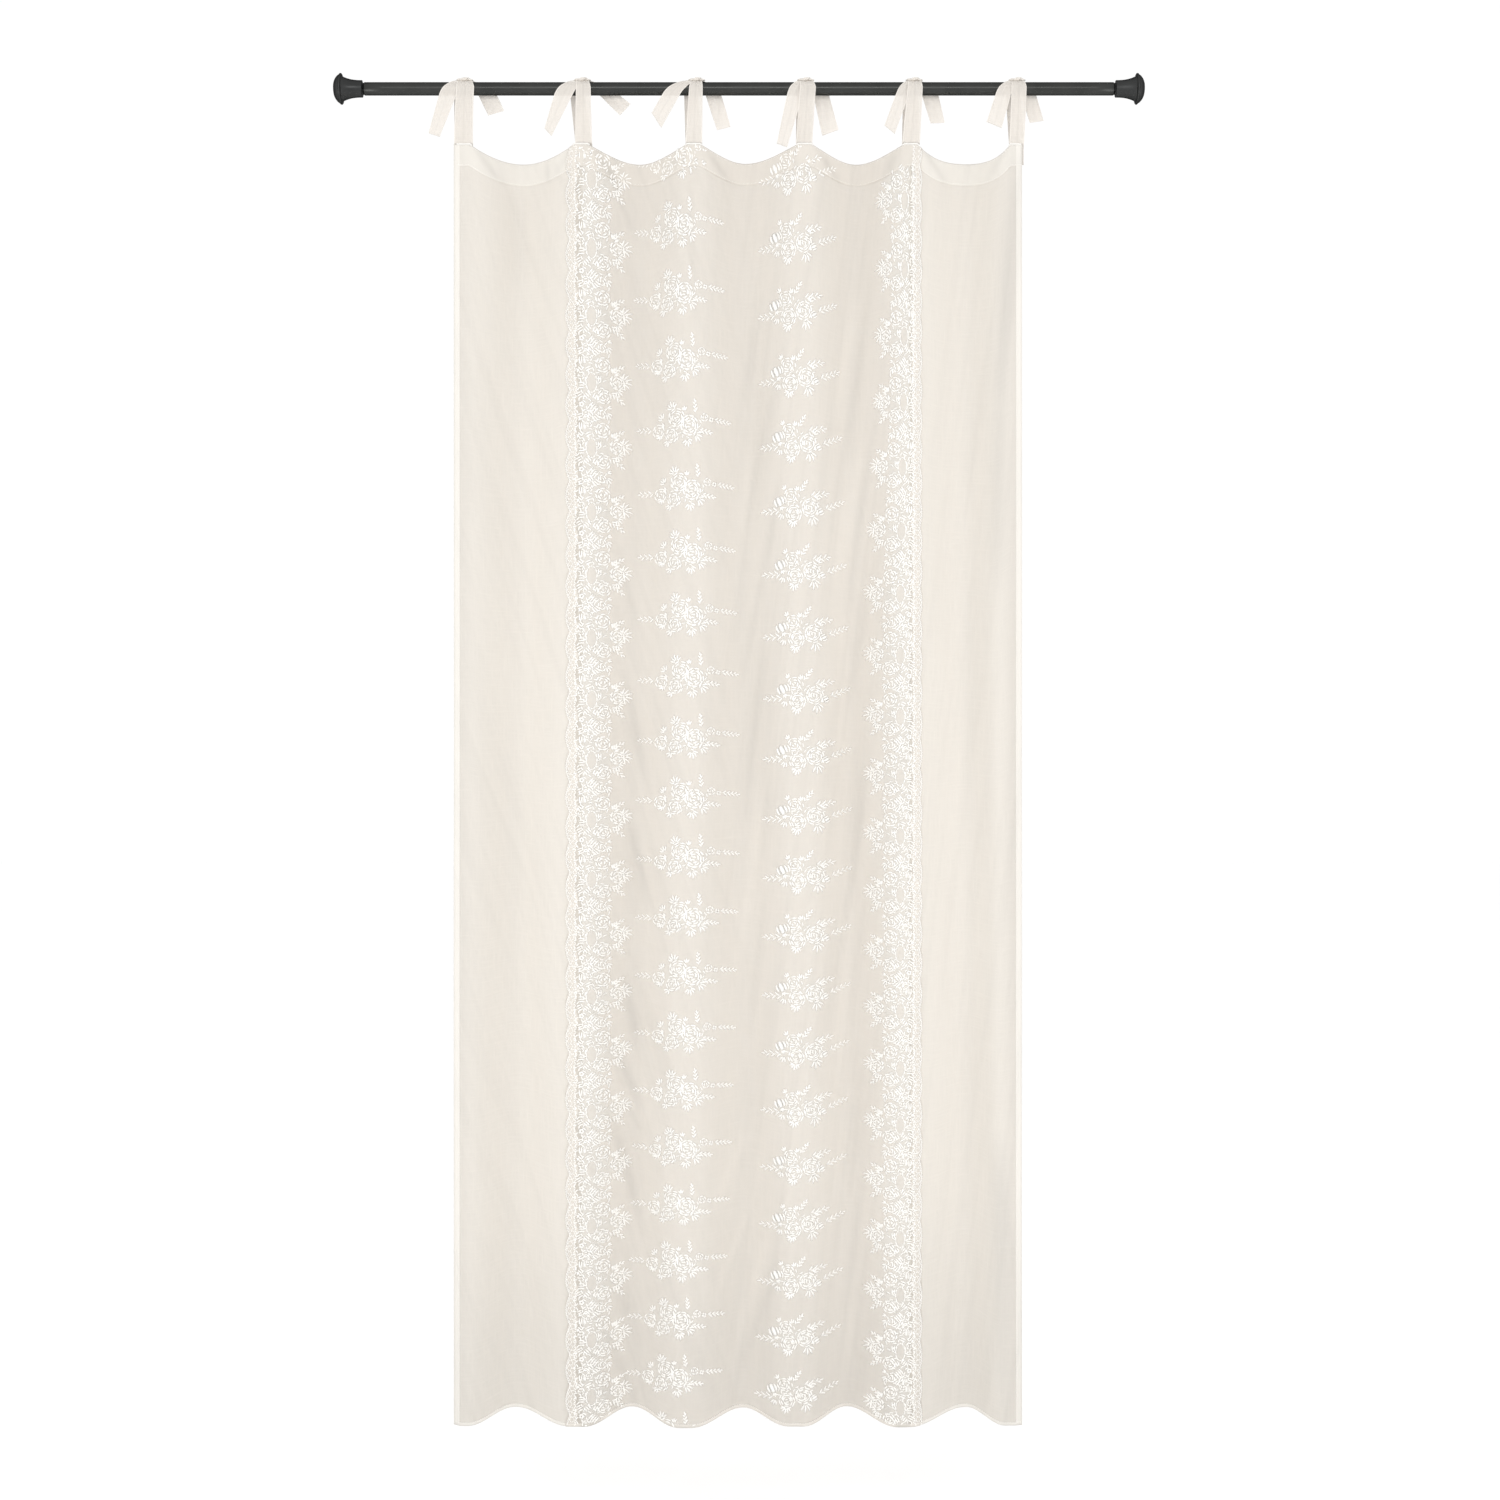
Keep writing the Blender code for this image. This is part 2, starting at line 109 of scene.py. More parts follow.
floor_paint, _, floor_shader = new_material("floor_paint", roughness=0.9, specular=0.1)
floor_shader.inputs["Base Color"].default_value = (0.99, 0.99, 0.99, 1.0)
half = FLOOR_SIZE / 2
floor_mesh = bpy.data.meshes.new("floor")
floor_mesh.from_pydata(
    [(-half, -half, FLOOR_Z), (half, -half, FLOOR_Z), (half, half, FLOOR_Z), (-half, half, FLOOR_Z)],
    [],
    [(0, 1, 2, 3)],
)
floor_mesh.materials.append(floor_paint)
floor = bpy.data.objects.new("floor", floor_mesh)
scene.collection.objects.link(floor)


# ------------------------------------------------------------------------- embroidered net
# The centre of the curtain is a fine machine-made net, cut in one piece. Both its sides are cut
# to shallow scallops and lap over the plain voile; its top is turned in and its foot rolled.
FOLD_COLUMNS = ("name", "x_heading", "x_hem", "back", "z_heading", "z_hem", "fullness")
FOLDS = (
    ("left_edge", -0.6160, -0.6160, 0.002, -0.1190, -2.8840, 0.0),
    ("tie_1", -0.5950, -0.5990, 0.000, -0.1190, -2.8865, 0.0),
    ("scallop_1", -0.4720, -0.4900, 0.057, -0.1485, -2.8620, 1.4),
    ("tie_2", -0.3410, -0.3500, 0.000, -0.1187, -2.8885, 0.0),
    ("scallop_2", -0.2170, -0.2340, 0.060, -0.1485, -2.8610, 1.1),
    ("tie_3", -0.0980, -0.1160, 0.000, -0.1190, -2.8905, 0.0),
    ("scallop_3", 0.0140, 0.0090, 0.055, -0.1480, -2.8620, 1.1),
    ("tie_4", 0.1420, 0.1230, 0.000, -0.1187, -2.8880, 0.0),
    ("scallop_4", 0.2560, 0.2350, 0.060, -0.1485, -2.8610, 1.1),
    ("tie_5", 0.3710, 0.3560, 0.000, -0.1192, -2.8885, 0.0),
    ("scallop_5", 0.4970, 0.4960, 0.054, -0.1485, -2.8615, 2.0),
    ("tie_6", 0.6000, 0.5880, 0.000, -0.1190, -2.8860, 0.0),
    ("right_edge", 0.6113, 0.6113, 0.002, -0.1195, -2.8850, 0.0),
)
CREASE_COLUMNS = ("x_start", "z_start", "x_end", "z_end", "half_width", "back")
CREASES = (
    (-0.484, -0.18, -0.473, -0.42, 0.024, 0.007),
    (-0.538, -0.18, -0.523, -0.62, 0.024, -0.006),
    (0.109, -0.42, 0.012, -1.26, 0.034, -0.007),
    (0.304, -0.32, 0.232, -1.20, 0.030, -0.007),
    (0.290, -0.80, 0.200, -1.86, 0.034, 0.008),
    (0.215, -1.50, 0.088, -2.66, 0.036, -0.008),
    (-0.262, -1.30, -0.150, -1.54, 0.030, 0.006),
    (-0.250, -1.60, -0.140, -1.86, 0.030, 0.006),
    (-0.256, -1.92, -0.150, -2.18, 0.030, 0.005),
    (-0.280, -2.18, -0.170, -2.48, 0.032, 0.006),
    (0.574, -0.20, 0.578, -2.86, 0.022, 0.011),
    (-0.430, -1.20, -0.410, -2.70, 0.034, -0.005),
)
# Painted shade and light. Where hanging pulls the cloth into finer creases than its folds, it is
# painted darker along them, share from 0 to 1, and a little lighter beside them, where the share
# is below 0. Two broad lines also paint both outer sides darker.
SHADE_LINE_COLUMNS = ("x_start", "z_start", "x_end", "z_end", "half_width", "share")
SHADE_LINES = (
    (0.297, -0.36, 0.198, -0.98, 0.008, 0.42),
    (0.304, -0.66, 0.228, -1.16, 0.007, 0.50),
    (0.290, -1.02, 0.234, -1.36, 0.007, 0.38),
    (0.290, -1.38, 0.192, -2.06, 0.008, 0.75),
    (0.276, -2.08, 0.238, -2.42, 0.007, 0.35),
    (0.263, -2.38, 0.232, -2.66, 0.008, 0.35),
    (0.262, -0.42, 0.206, -0.70, 0.011, -0.28),
    (0.275, -0.74, 0.203, -1.08, 0.010, -0.32),
    (0.238, -1.10, 0.222, -1.46, 0.011, -0.28),
    (0.252, -1.56, 0.212, -2.06, 0.010, -0.32),
    (0.253, -2.42, 0.235, -2.80, 0.009, -0.28),
    (0.050, -0.43, 0.012, -0.69, 0.008, 0.45),
    (0.072, -0.62, 0.008, -1.00, 0.008, 0.55),
    (0.086, -0.84, 0.058, -1.01, 0.006, 0.35),
    (0.080, -0.90, 0.003, -1.30, 0.008, 0.50),
    (0.058, -1.18, 0.008, -1.60, 0.008, 0.45),
    (0.069, -1.47, 0.049, -1.68, 0.006, 0.35),
    (0.061, -1.71, 0.020, -2.06, 0.007, 0.40),
    (0.018, -0.95, -0.012, -1.22, 0.007, 0.30),
    (0.032, -0.76, 0.000, -1.01, 0.010, -0.28),
    (0.050, -1.50, -0.007, -1.94, 0.010, -0.28),
    (0.028, -2.23, -0.062, -2.44, 0.010, -0.28),
    (0.046, -2.38, -0.062, -2.64, 0.010, -0.32),
    (0.072, -2.45, -0.024, -2.79, 0.010, -0.32),
    (0.064, -2.34, -0.042, -2.62, 0.006, 0.30),
    (0.092, -2.50, 0.008, -2.78, 0.007, 0.40),
    (-0.259, -1.21, -0.190, -1.56, 0.008, 0.42),
    (-0.248, -1.53, -0.192, -1.80, 0.008, 0.48),
    (-0.251, -1.91, -0.220, -2.10, 0.008, 0.55),
    (-0.275, -2.06, -0.212, -2.22, 0.008, 0.55),
    (-0.291, -2.19, -0.200, -2.50, 0.009, 0.60),
    (-0.263, -2.17, -0.203, -2.28, 0.006, 0.40),
    (-0.285, -2.52, -0.210, -2.74, 0.009, 0.42),
    (-0.263, -0.98, -0.224, -1.18, 0.007, 0.35),
    (-0.291, -0.15, -0.223, -0.32, 0.007, 0.55),
    (-0.106, -0.17, -0.096, -0.53, 0.005, 0.40),
    (0.604, -0.12, 0.560, -0.68, 0.014, 0.85),
    (0.567, -0.56, 0.556, -1.10, 0.014, 0.50),
    (0.558, -2.25, 0.594, -2.92, 0.020, 0.85),
    (-0.606, 0.40, -0.606, -3.40, 0.034, 0.55),
    (0.606, 0.40, 0.606, -3.40, 0.034, 0.55),
    (0.262, -0.70, 0.240, -2.30, 0.030, -0.22),
    (-0.418, -0.146, -0.415, -0.200, 0.006, 0.55),
)
# Painted shade: two lines that leave each tie, a base share everywhere, a slow rise towards the foot, and
# how much darker a full share paints the cloth.
TIE_SHADE_LINES = ((0.016, -0.118, 0.086, -0.204, 0.007, 0.55), (-0.018, -0.120, -0.066, -0.196, 0.007, 0.30))
PAINTED_SHADE_BASE = 0.22
LOW_PAINTED_SHADE = (-2.30, 0.60, 0.50)
PAINTED_SHADE_STRENGTH = 0.17
TIE_FLAT = 0.014
TIE_FLAT_SHARE = 0.2
CLOTH = 0.0011
LAYER = 0.0020
NET_OUT = LAYER - CLOTH / 2
NET_EDGES = (-0.3657, 0.3905)
NET_HALF_THICKNESS = 0.00030
DOUBLED_HALF_THICKNESS = 0.00055
HEADING_ABOUT = -0.13
HEADING_DEPTH = 0.047
DROP = 2.768
FOOT_HEM = 0.0060
FINE_STEP = 0.0008
HEADING_ROW = 0.0055
NET_ROW = 0.0092
NET_COLUMN = 0.0088
SWELLS = (0.0085, 0.0045)
SWELL_STARTS = (0.0, 0.03)
EDGE_STRIP = 0.0195
STRIP_CLOSED = 0.6
HEADING_CLOSED = 0.70
SOFT_WAVES = ((0.0010, 23.0, 3.1, 0.4), (0.0008, 41.0, -4.7, 2.1), (0.0006, 67.0, 7.9, 4.0))
WAVES_FULL = 0.25
GATHER_DEPTH = 0.0011
GATHER_PITCH = 0.0135
GATHER_SPREAD = 0.030
GATHER_START = 0.030
GATHER_FADE = 0.150
GATHER_OPENS = (3.0, 2.0)
THREAD_RUN = 26.0
SLUB_RUNS = (18.0, 14.0)
SLUB_SHARE = 0.55
WEAVE_RANGE = (0.40, 0.72)
WEAVE_DARKER = 0.975
WEAVE_BUMP = (0.3, 0.0004)
# Painted crease shade: faint darker streaks of long turned noise on the cloth, slanting inwards from both
# sides.
CREASE_SHADE_CELL = (0.022, 0.75)
CREASE_SHADE_TURNS = (-0.33, 0.13)
CREASE_SHADE_RANGE = (0.46, 0.70)
CREASE_SHADE_MIDDLE = (-0.14, 0.06)
# The grey of the painted shade on the net round and between the embroidery.
EMBROIDERY_SHADE_COLOUR = (0.735, 0.696, 0.634)

fold = {name: np.array([row[i] for row in FOLDS]) for i, name in enumerate(FOLD_COLUMNS)}


def half_wave(share):
    """0 to 1 with level ends: (1 - cos(pi share)) / 2."""
    return (1.0 - np.cos(np.pi * np.clip(share, 0.0, 1.0))) / 2.0


def fold_value(column, x, below, sags=False):
    """A column of FOLDS read at x, with below from 0 at the heading to 1 at the hem. The fold's
    lines run straight from x_heading to x_hem, and the value goes from line to line by half a
    wave, level beside a tie. Where it sags, fullness moves it towards 1 - (1 - rise)^2."""
    lines = fold["x_heading"] + (fold["x_hem"] - fold["x_heading"]) * np.asarray(below)[..., None]
    left = np.clip((lines < np.asarray(x)[..., None]).sum(-1) - 1, 0, len(FOLDS) - 2)
    x_left = np.take_along_axis(lines, left[..., None], -1)[..., 0]
    x_right = np.take_along_axis(lines, left[..., None] + 1, -1)[..., 0]
    flat = np.minimum(TIE_FLAT, TIE_FLAT_SHARE * (x_right - x_left))
    from_tie = left % 2 == 1
    start = x_left + np.where(from_tie, flat, 0.0)
    end = x_right - np.where(from_tie, 0.0, flat)
    share = np.clip((x - start) / (end - start), 0.0, 1.0)
    level = half_wave(share)
    if sags:
        rise = np.where(from_tie, share, 1.0 - share)
        chain = 1.0 - (1.0 - rise) ** 2
        chain = np.where(from_tie, chain, 1.0 - chain)
        level = level + fold["fullness"][left + left % 2] * (chain - level)
    return fold[column][left] + (fold[column][left + 1] - fold[column][left]) * level


def along_lines(columns, table, x, z):
    """The sum of every line's last value times the bell exp(-(across / half width)^2) and times
    sin(pi along)^0.8."""
    total = np.zeros(np.broadcast(x, z).shape)
    for row in table:
        line = dict(zip(columns, row))
        run_x = line["x_end"] - line["x_start"]
        run_z = line["z_end"] - line["z_start"]
        length = math.hypot(run_x, run_z)
        along = ((x - line["x_start"]) * run_x + (z - line["z_start"]) * run_z) / length**2
        across = ((x - line["x_start"]) * run_z - (z - line["z_start"]) * run_x) / length
        bell = np.exp(-((across / line["half_width"]) ** 2))
        total += row[-1] * bell * np.sin(np.pi * np.clip(along, 0.0, 1.0)) ** 0.8
    return total


def crease_depth(x, z):
    """How far back the softer folds push the cloth."""
    return along_lines(CREASE_COLUMNS, CREASES, x, z)


def painted_shade(x, z):
    """How much painted shade the cloth gets, 0 to 1: a base share, every line of the table, two lines
    that leave each tie, and a slow rise towards the foot."""
    from_ties = [
        (x_tie + x_start, z_start, x_tie + x_end, z_end, half_width, share)
        for x_tie in fold["x_heading"][1:-1:2]
        for x_start, z_start, x_end, z_end, half_width, share in TIE_SHADE_LINES
    ]
    z_low, height, low_share = LOW_PAINTED_SHADE
    low = low_share * half_wave((z_low - z) / height)
    return np.clip(PAINTED_SHADE_BASE + along_lines(SHADE_LINE_COLUMNS, [*SHADE_LINES, *from_ties], x, z) + low, 0.0, 1.0)


def gather_depth(x, drop):
    """Small pleats under every tie: GATHER_DEPTH cos(2 pi distance / pitch). They start over the
    first GATHER_START of the drop and fade as exp(-drop / GATHER_FADE), and to both sides as a
    bell. Pitch and bell open out by GATHER_OPENS times the drop."""
    lower = np.clip(drop, 0.0, 1.0)
    pitch, wide = (
        size * (1.0 + opens * lower) for size, opens in zip((GATHER_PITCH, GATHER_SPREAD), GATHER_OPENS)
    )
    fade = np.exp(-drop / GATHER_FADE) * np.clip(drop / GATHER_START, 0.0, 1.0)
    total = np.zeros(np.broadcast(x, drop).shape)
    for x_tie in fold["x_heading"][1:-1:2]:
        away = x - x_tie
        total += GATHER_DEPTH * np.exp(-((away / wide) ** 2)) * fade * np.cos(2.0 * np.pi * away / pitch)
    return total


def heading_z(x):
    return fold_value("z_heading", x, np.zeros(np.shape(x)), sags=True)


def hem_z(x):
    return fold_value("z_hem", x, np.ones(np.shape(x)))


def cloth_z(x, down):
    """The z at x of the point that lies the share down of the way from heading to hem."""
    return heading_z(x) + (hem_z(x) - heading_z(x)) * down


def cloth_y(x, z):
    """How far back the curtain hangs at x and z: main folds, softer folds, gathers and three
    long low waves, depth sin(x rate + z rate + start), that grow over a quarter of the drop."""
    top = heading_z(x)
    below = np.clip((z - top) / (hem_z(x) - top), -0.01, 1.01)
    waves = sum(
        depth * np.sin(x_rate * x + z_rate * z + start) for depth, x_rate, z_rate, start in SOFT_WAVES
    )
    y = fold_value("back", x, np.clip(below, 0.0, 1.0)) + crease_depth(x, z)
    return y + gather_depth(x, top - z) + waves * np.clip(below / WAVES_FULL, 0.0, 1.0)


def on_cloth(x, z, out):
    """Points that stand out metres in front of the curtain's surface y = f(x, z), measured along
    its normal (df/dx, -1, df/dz)."""
    step = 0.0015
    y = cloth_y(x, z)
    slope_x = (cloth_y(x + step, z) - y) / step
    slope_z = (y - cloth_y(x, z - step)) / step
    normal = np.stack([slope_x, -np.ones_like(y), slope_z], -1)
    normal /= np.linalg.norm(normal, axis=-1, keepdims=True)
    return np.stack([x, y, z], -1) + normal * np.broadcast_to(out, y.shape)[..., None]


def stations(stops, step):
    """Every stop, with even steps of at most step between them."""
    pieces = [
        np.linspace(start, end, max(2, math.ceil((end - start) / step) + 1))[:-1]
        for start, end in zip(stops, stops[1:])
    ]
    return np.concatenate([*pieces, stops[-1:]])


def grid_faces(rows, columns, first=0):
    """Quads of a grid of rows by columns points, wound so that down crossed with right is out."""
    corner = first + np.arange(rows * columns).reshape(rows, columns)
    quads = [corner[:-1, :-1], corner[1:, :-1], corner[1:, 1:], corner[:-1, 1:]]
    return np.stack([quad.ravel() for quad in quads], -1)


def grid_normal(points):
    """Unit normals at the points of a grid: down crossed with right."""
    normal = np.cross(np.gradient(points, axis=0), np.gradient(points, axis=1))
    return normal / np.linalg.norm(normal, axis=-1, keepdims=True)


RIM = (1,)


def closed_sheet(points, half_thickness):
    """Vertices of a sheet and its faces in two blocks. Its two sides are the grid
    points[row, column] moved by plus and minus half its thickness along its normal. The second
    block, RIM, joins both."""
    rows, columns = points.shape[:2]
    shift = grid_normal(points) * np.broadcast_to(half_thickness, (rows, columns))[..., None]
    vertices = np.concatenate([(points + shift).reshape(-1, 3), (points - shift).reshape(-1, 3)])
    behind = rows * columns
    front = grid_faces(rows, columns)
    back = grid_faces(rows, columns, behind)[:, ::-1]
    corner = np.arange(behind).reshape(rows, columns)
    edge = np.concatenate([corner[:-1, 0], corner[-1, :-1], corner[:0:-1, -1], corner[0, :0:-1]])
    ahead = np.roll(edge, -1)
    rim = np.stack([edge, edge + behind, ahead + behind, ahead], -1)
    return vertices, [np.concatenate([front, back]), rim]


def new_piece(name, vertices, faces, material, flat_blocks=()):
    """A mesh object with its place in its mesh. faces is a list of arrays of faces that have the
    same number of corners in each. All are smooth but the blocks numbered in flat_blocks."""
    mesh = bpy.data.meshes.new(name)
    mesh.from_pydata(vertices.tolist(), [], [face for block in faces for face in block.tolist()])
    smooth = [np.full(len(block), number not in flat_blocks) for number, block in enumerate(faces)]
    mesh.polygons.foreach_set("use_smooth", np.concatenate(smooth))
    mesh.materials.append(material)
    mesh.update()
    piece = bpy.data.objects.new(name, mesh)
    bpy.context.scene.collection.objects.link(piece)
    return piece


def add_share(piece, name, share):
    """A named attribute with one value from 0 to 1 for every vertex."""
    layer = piece.data.attributes.new(name, "FLOAT", "POINT")
    layer.data.foreach_set("value", np.asarray(share, dtype=np.float32))


def add_cloth_maps(piece, across, along, doubled, shade_levels=None):
    """The UV map cloth, in metres across and along the cloth, the attribute doubled, which is 1
    where the cloth is folded on itself, and an attribute of painted shade, which is read from the
    lines of painted shade unless it is given. All are given for every vertex."""
    mesh = piece.data
    place = np.empty((len(mesh.vertices), 3))
    mesh.vertices.foreach_get("co", place.reshape(-1))
    add_share(piece, "painted_shade", painted_shade(place[:, 0], place[:, 2]) if shade_levels is None else shade_levels)
    corner = np.empty(len(mesh.loops), dtype=np.int32)
    mesh.loops.foreach_get("vertex_index", corner)
    uv = mesh.uv_layers.new(name="cloth")
    uv.uv.foreach_set("vector", np.stack([across, along], -1)[corner].astype(np.float32).ravel())
    add_share(piece, "doubled", doubled)


def new_node(tree, kind, **settings):
    """A new node with its properties and unlinked inputs set by name."""
    node = tree.nodes.new(kind)
    for name, value in settings.items():
        if hasattr(node, name):
            setattr(node, name, value)
        else:
            node.inputs[name.replace("_", " ")].default_value = value
    return node


def cloth_map(tree):
    """The UV map cloth, as an output."""
    return new_node(tree, "ShaderNodeUVMap", uv_map="cloth").outputs["UV"]


def share_from(tree, name):
    """The attribute of that name, as an output."""
    return new_node(tree, "ShaderNodeAttribute", attribute_name=name).outputs["Fac"]


def streaks(tree, wide, long, turn=0.0):
    """Noise on the cloth map, in metres, with cells that are wide across and long along, turned
    by turn radians from the cloth's length. Returns its output."""
    stretch = new_node(tree, "ShaderNodeMapping", vector_type="TEXTURE")
    stretch.inputs["Scale"].default_value = (wide, long, 1.0)
    stretch.inputs["Rotation"].default_value = (0.0, 0.0, turn)
    noise = new_node(tree, "ShaderNodeTexNoise", Scale=1.0, Detail=2.0, Roughness=0.55)
    tree.links.new(cloth_map(tree), stretch.inputs["Vector"])
    tree.links.new(stretch.outputs["Vector"], noise.inputs["Vector"])
    return noise.outputs["Fac"]


def joined(tree, operation, first, second, clamp=False):
    """A Math node on two outputs, or on an output and a number. Returns its output."""
    node = new_node(tree, "ShaderNodeMath", operation=operation, use_clamp=clamp)
    for socket, value in zip(node.inputs, (first, second)):
        if isinstance(value, (int, float)):
            socket.default_value = value
        else:
            tree.links.new(value, socket)
    return node.outputs["Value"]


def weighed(tree, first, first_share, second, second_share):
    """first times its share, plus second times its own."""
    first = joined(tree, "MULTIPLY", first, first_share)
    return joined(tree, "ADD", first, joined(tree, "MULTIPLY", second, second_share))


def spread(tree, value, low, high, to_low=0.0, to_high=1.0):
    """value moved from the range low to high onto to_low to to_high, and held within it."""
    node = new_node(
        tree, "ShaderNodeMapRange", From_Min=low, From_Max=high, To_Min=to_low, To_Max=to_high
    )
    tree.links.new(value, node.inputs["Value"])
    return node.outputs["Result"]


def blended(tree, share, first, second):
    """A colour between first and second, each a colour or an output, by the output share."""
    node = new_node(tree, "ShaderNodeMix", data_type="RGBA")
    tree.links.new(share, node.inputs["Factor"])
    for socket, value in ((node.inputs["A"], first), (node.inputs["B"], second)):
        if isinstance(value, tuple):
            socket.default_value = (*value, 1.0)
        else:
            tree.links.new(value, socket)
    return node.outputs["Result"]


def add_bump(tree, shader, height, strength, distance):
    """Bump on a shader from the output height, distance metres from its 0 to its 1."""
    bump = new_node(tree, "ShaderNodeBump", Strength=strength, Distance=distance)
    tree.links.new(height, bump.inputs["Height"])
    tree.links.new(bump.outputs["Normal"], shader.inputs["Normal"])


def cloth_material(name, colour, doubled_colour, covers, doubled_covers, thread, slub, crease_shade=0.0):
    """Sheer cloth. Fine threads and longer slubs, both ways, are noise stretched along the cloth
    map. They move its colour between colour and WEAVE_DARKER of it, its cover between the two of
    covers, and its bump. Where the cloth is doubled it is lighter and nearly closed. Painted
    shade: where the attribute for it round the embroidery is 1 the cloth is greyer, where the
    cloth's attribute of painted shade is 1 it is darker by a set share, and along faint painted
    crease shades of long turned noise, which slant inwards from both of its sides, it is darker by
    up to the share given for them."""
    material, tree, shader = new_material(name, roughness=0.86, specular=0.25)
    warp = streaks(tree, thread, THREAD_RUN * thread)
    weft = streaks(tree, THREAD_RUN * thread, thread)
    long_slub = streaks(tree, slub, SLUB_RUNS[0] * slub)
    cross_slub = streaks(tree, SLUB_RUNS[1] * slub, slub)
    threads = joined(tree, "MAXIMUM", warp, weft)
    slubs = joined(tree, "MAXIMUM", long_slub, cross_slub)
    weave = weighed(tree, threads, 1.0 - SLUB_SHARE, slubs, SLUB_SHARE)
    even = spread(tree, weave, *WEAVE_RANGE)
    doubled = share_from(tree, "doubled")
    tint = blended(tree, even, tuple(WEAVE_DARKER * part for part in colour), colour)
    tint = blended(tree, doubled, tint, doubled_colour)
    # Painted shade round the embroidery: greyer where its attribute is 1.
    tint = blended(tree, share_from(tree, "embroidery_shade"), tint, EMBROIDERY_SHADE_COLOUR)
    # Painted crease shade along faint streaks of turned noise.
    crease_shades = [
        spread(tree, streaks(tree, *CREASE_SHADE_CELL, turn), *CREASE_SHADE_RANGE, 0.0, crease_shade) for turn in CREASE_SHADE_TURNS
    ]
    place = tree.nodes.new("ShaderNodeSeparateXYZ")
    tree.links.new(cloth_map(tree), place.inputs["Vector"])
    to_right = spread(tree, place.outputs["X"], *CREASE_SHADE_MIDDLE)
    to_left = joined(tree, "SUBTRACT", 1.0, to_right)
    slanting_shade = weighed(tree, crease_shades[0], to_left, crease_shades[1], to_right)
    # Painted shade from the cloth's attribute: darker by up to a set share.
    shade_levels = joined(tree, "MULTIPLY", share_from(tree, "painted_shade"), PAINTED_SHADE_STRENGTH)
    tint = blended(tree, joined(tree, "ADD", slanting_shade, shade_levels), tint, (0.0, 0.0, 0.0))
    tree.links.new(tint, shader.inputs["Base Color"])
    cover = spread(tree, even, 0.0, 1.0, *covers)
    closed = joined(tree, "MULTIPLY", joined(tree, "SUBTRACT", doubled_covers, cover), doubled)
    tree.links.new(joined(tree, "ADD", cover, closed, clamp=True), shader.inputs["Alpha"])
    add_bump(tree, shader, weave, *WEAVE_BUMP)
    shader.inputs["Sheen Weight"].default_value = 0.05
    shader.inputs["Sheen Roughness"].default_value = 0.5
    return material


def scallop(z, start, rise):
    """How far the net's edge swells outwards: rise |sin(pi (z - start) / half a repeat)|."""
    return rise * np.abs(np.sin(np.pi * (z - start) / (0.5 * REPEAT)))


# The repeats of the embroidery close up downwards. A repeat's drop below the rod's axis is a
# cubic in its number, and REPEAT is their mean height.
REPEAT = 0.1302
REPEAT_DROP = (0.29578, 0.14814, -0.0014054, 0.0000265)


def repeat_z(number, lower=0.0):
    """The z of a repeat's middle, lower metres below the flower sprays on the left."""
    start, pitch, square, cube = REPEAT_DROP
    return -(start + pitch * number + square * number**2 + cube * number**3) - lower


def levels_down(step):
    """Shares of the drop for the rows of a sheet: close together in the heading, then at most
    step apart, with a narrow row where the heading ends and where the foot hem starts."""
    heading = stations([0.0, HEADING_DEPTH], HEADING_ROW)[:-1]
    hem_top = DROP - FOOT_HEM
    below = stations([HEADING_DEPTH, HEADING_DEPTH + FINE_STEP, hem_top - FINE_STEP, hem_top, DROP], step)
    return np.concatenate([heading, below]) / DROP


def turned_in(down):
    """Where a sheet lies in its turned-in heading, and where in its rolled foot."""
    return down * DROP < HEADING_DEPTH + FINE_STEP / 2, down * DROP > DROP - FOOT_HEM - FINE_STEP / 2


def hung_sheet(name, x, down, out, doubled, closed, material):
    """One width of cloth, on a grid of x and of the share of the drop, down, that stands out
    metres in front of the curtain's surface. It is thicker where it is doubled, and closed is
    what its attribute doubled gets."""
    thick = np.where(doubled, DOUBLED_HALF_THICKNESS, NET_HALF_THICKNESS)
    vertices, faces = closed_sheet(on_cloth(x, cloth_z(x, down), out), thick)
    piece = new_piece(name, vertices, faces, material, RIM)
    add_cloth_maps(piece, *(np.tile(part.ravel(), 2) for part in (x, down * DROP, closed)))
    return piece


net_wide = NET_EDGES[1] - NET_EDGES[0]
strip_share = EDGE_STRIP / net_wide
inner_share = strip_share + FINE_STEP / net_wide
net_stops = [0.0, strip_share, inner_share, 1.0 - inner_share, 1.0 - strip_share, 1.0]
share_across, share_down = np.meshgrid(stations(net_stops, NET_COLUMN / net_wide), levels_down(NET_ROW))
z_about = HEADING_ABOUT - DROP * share_down
left_edge = NET_EDGES[0] - scallop(z_about, SWELL_STARTS[0], SWELLS[0])
right_edge = NET_EDGES[1] + scallop(z_about, SWELL_STARTS[1], SWELLS[1])
net_x = left_edge + (right_edge - left_edge) * share_across
in_heading, in_foot = turned_in(share_down)
in_strip = np.abs(share_across - 0.5) > 0.5 - (strip_share + inner_share) / 2
net_closed = np.where(in_heading, HEADING_CLOSED, np.maximum(in_foot, STRIP_CLOSED * in_strip))
net_material = cloth_material(
    "net_cloth", (0.758, 0.706, 0.635), (0.872, 0.822, 0.756),
    covers=(0.61, 0.64), doubled_covers=0.90, thread=0.0011, slub=0.0050, crease_shade=0.045,
)
net = hung_sheet(
    "embroidered_net", net_x, share_down, NET_OUT, in_heading | in_foot, net_closed, net_material
)
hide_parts("net_panel")
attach(net, "root")


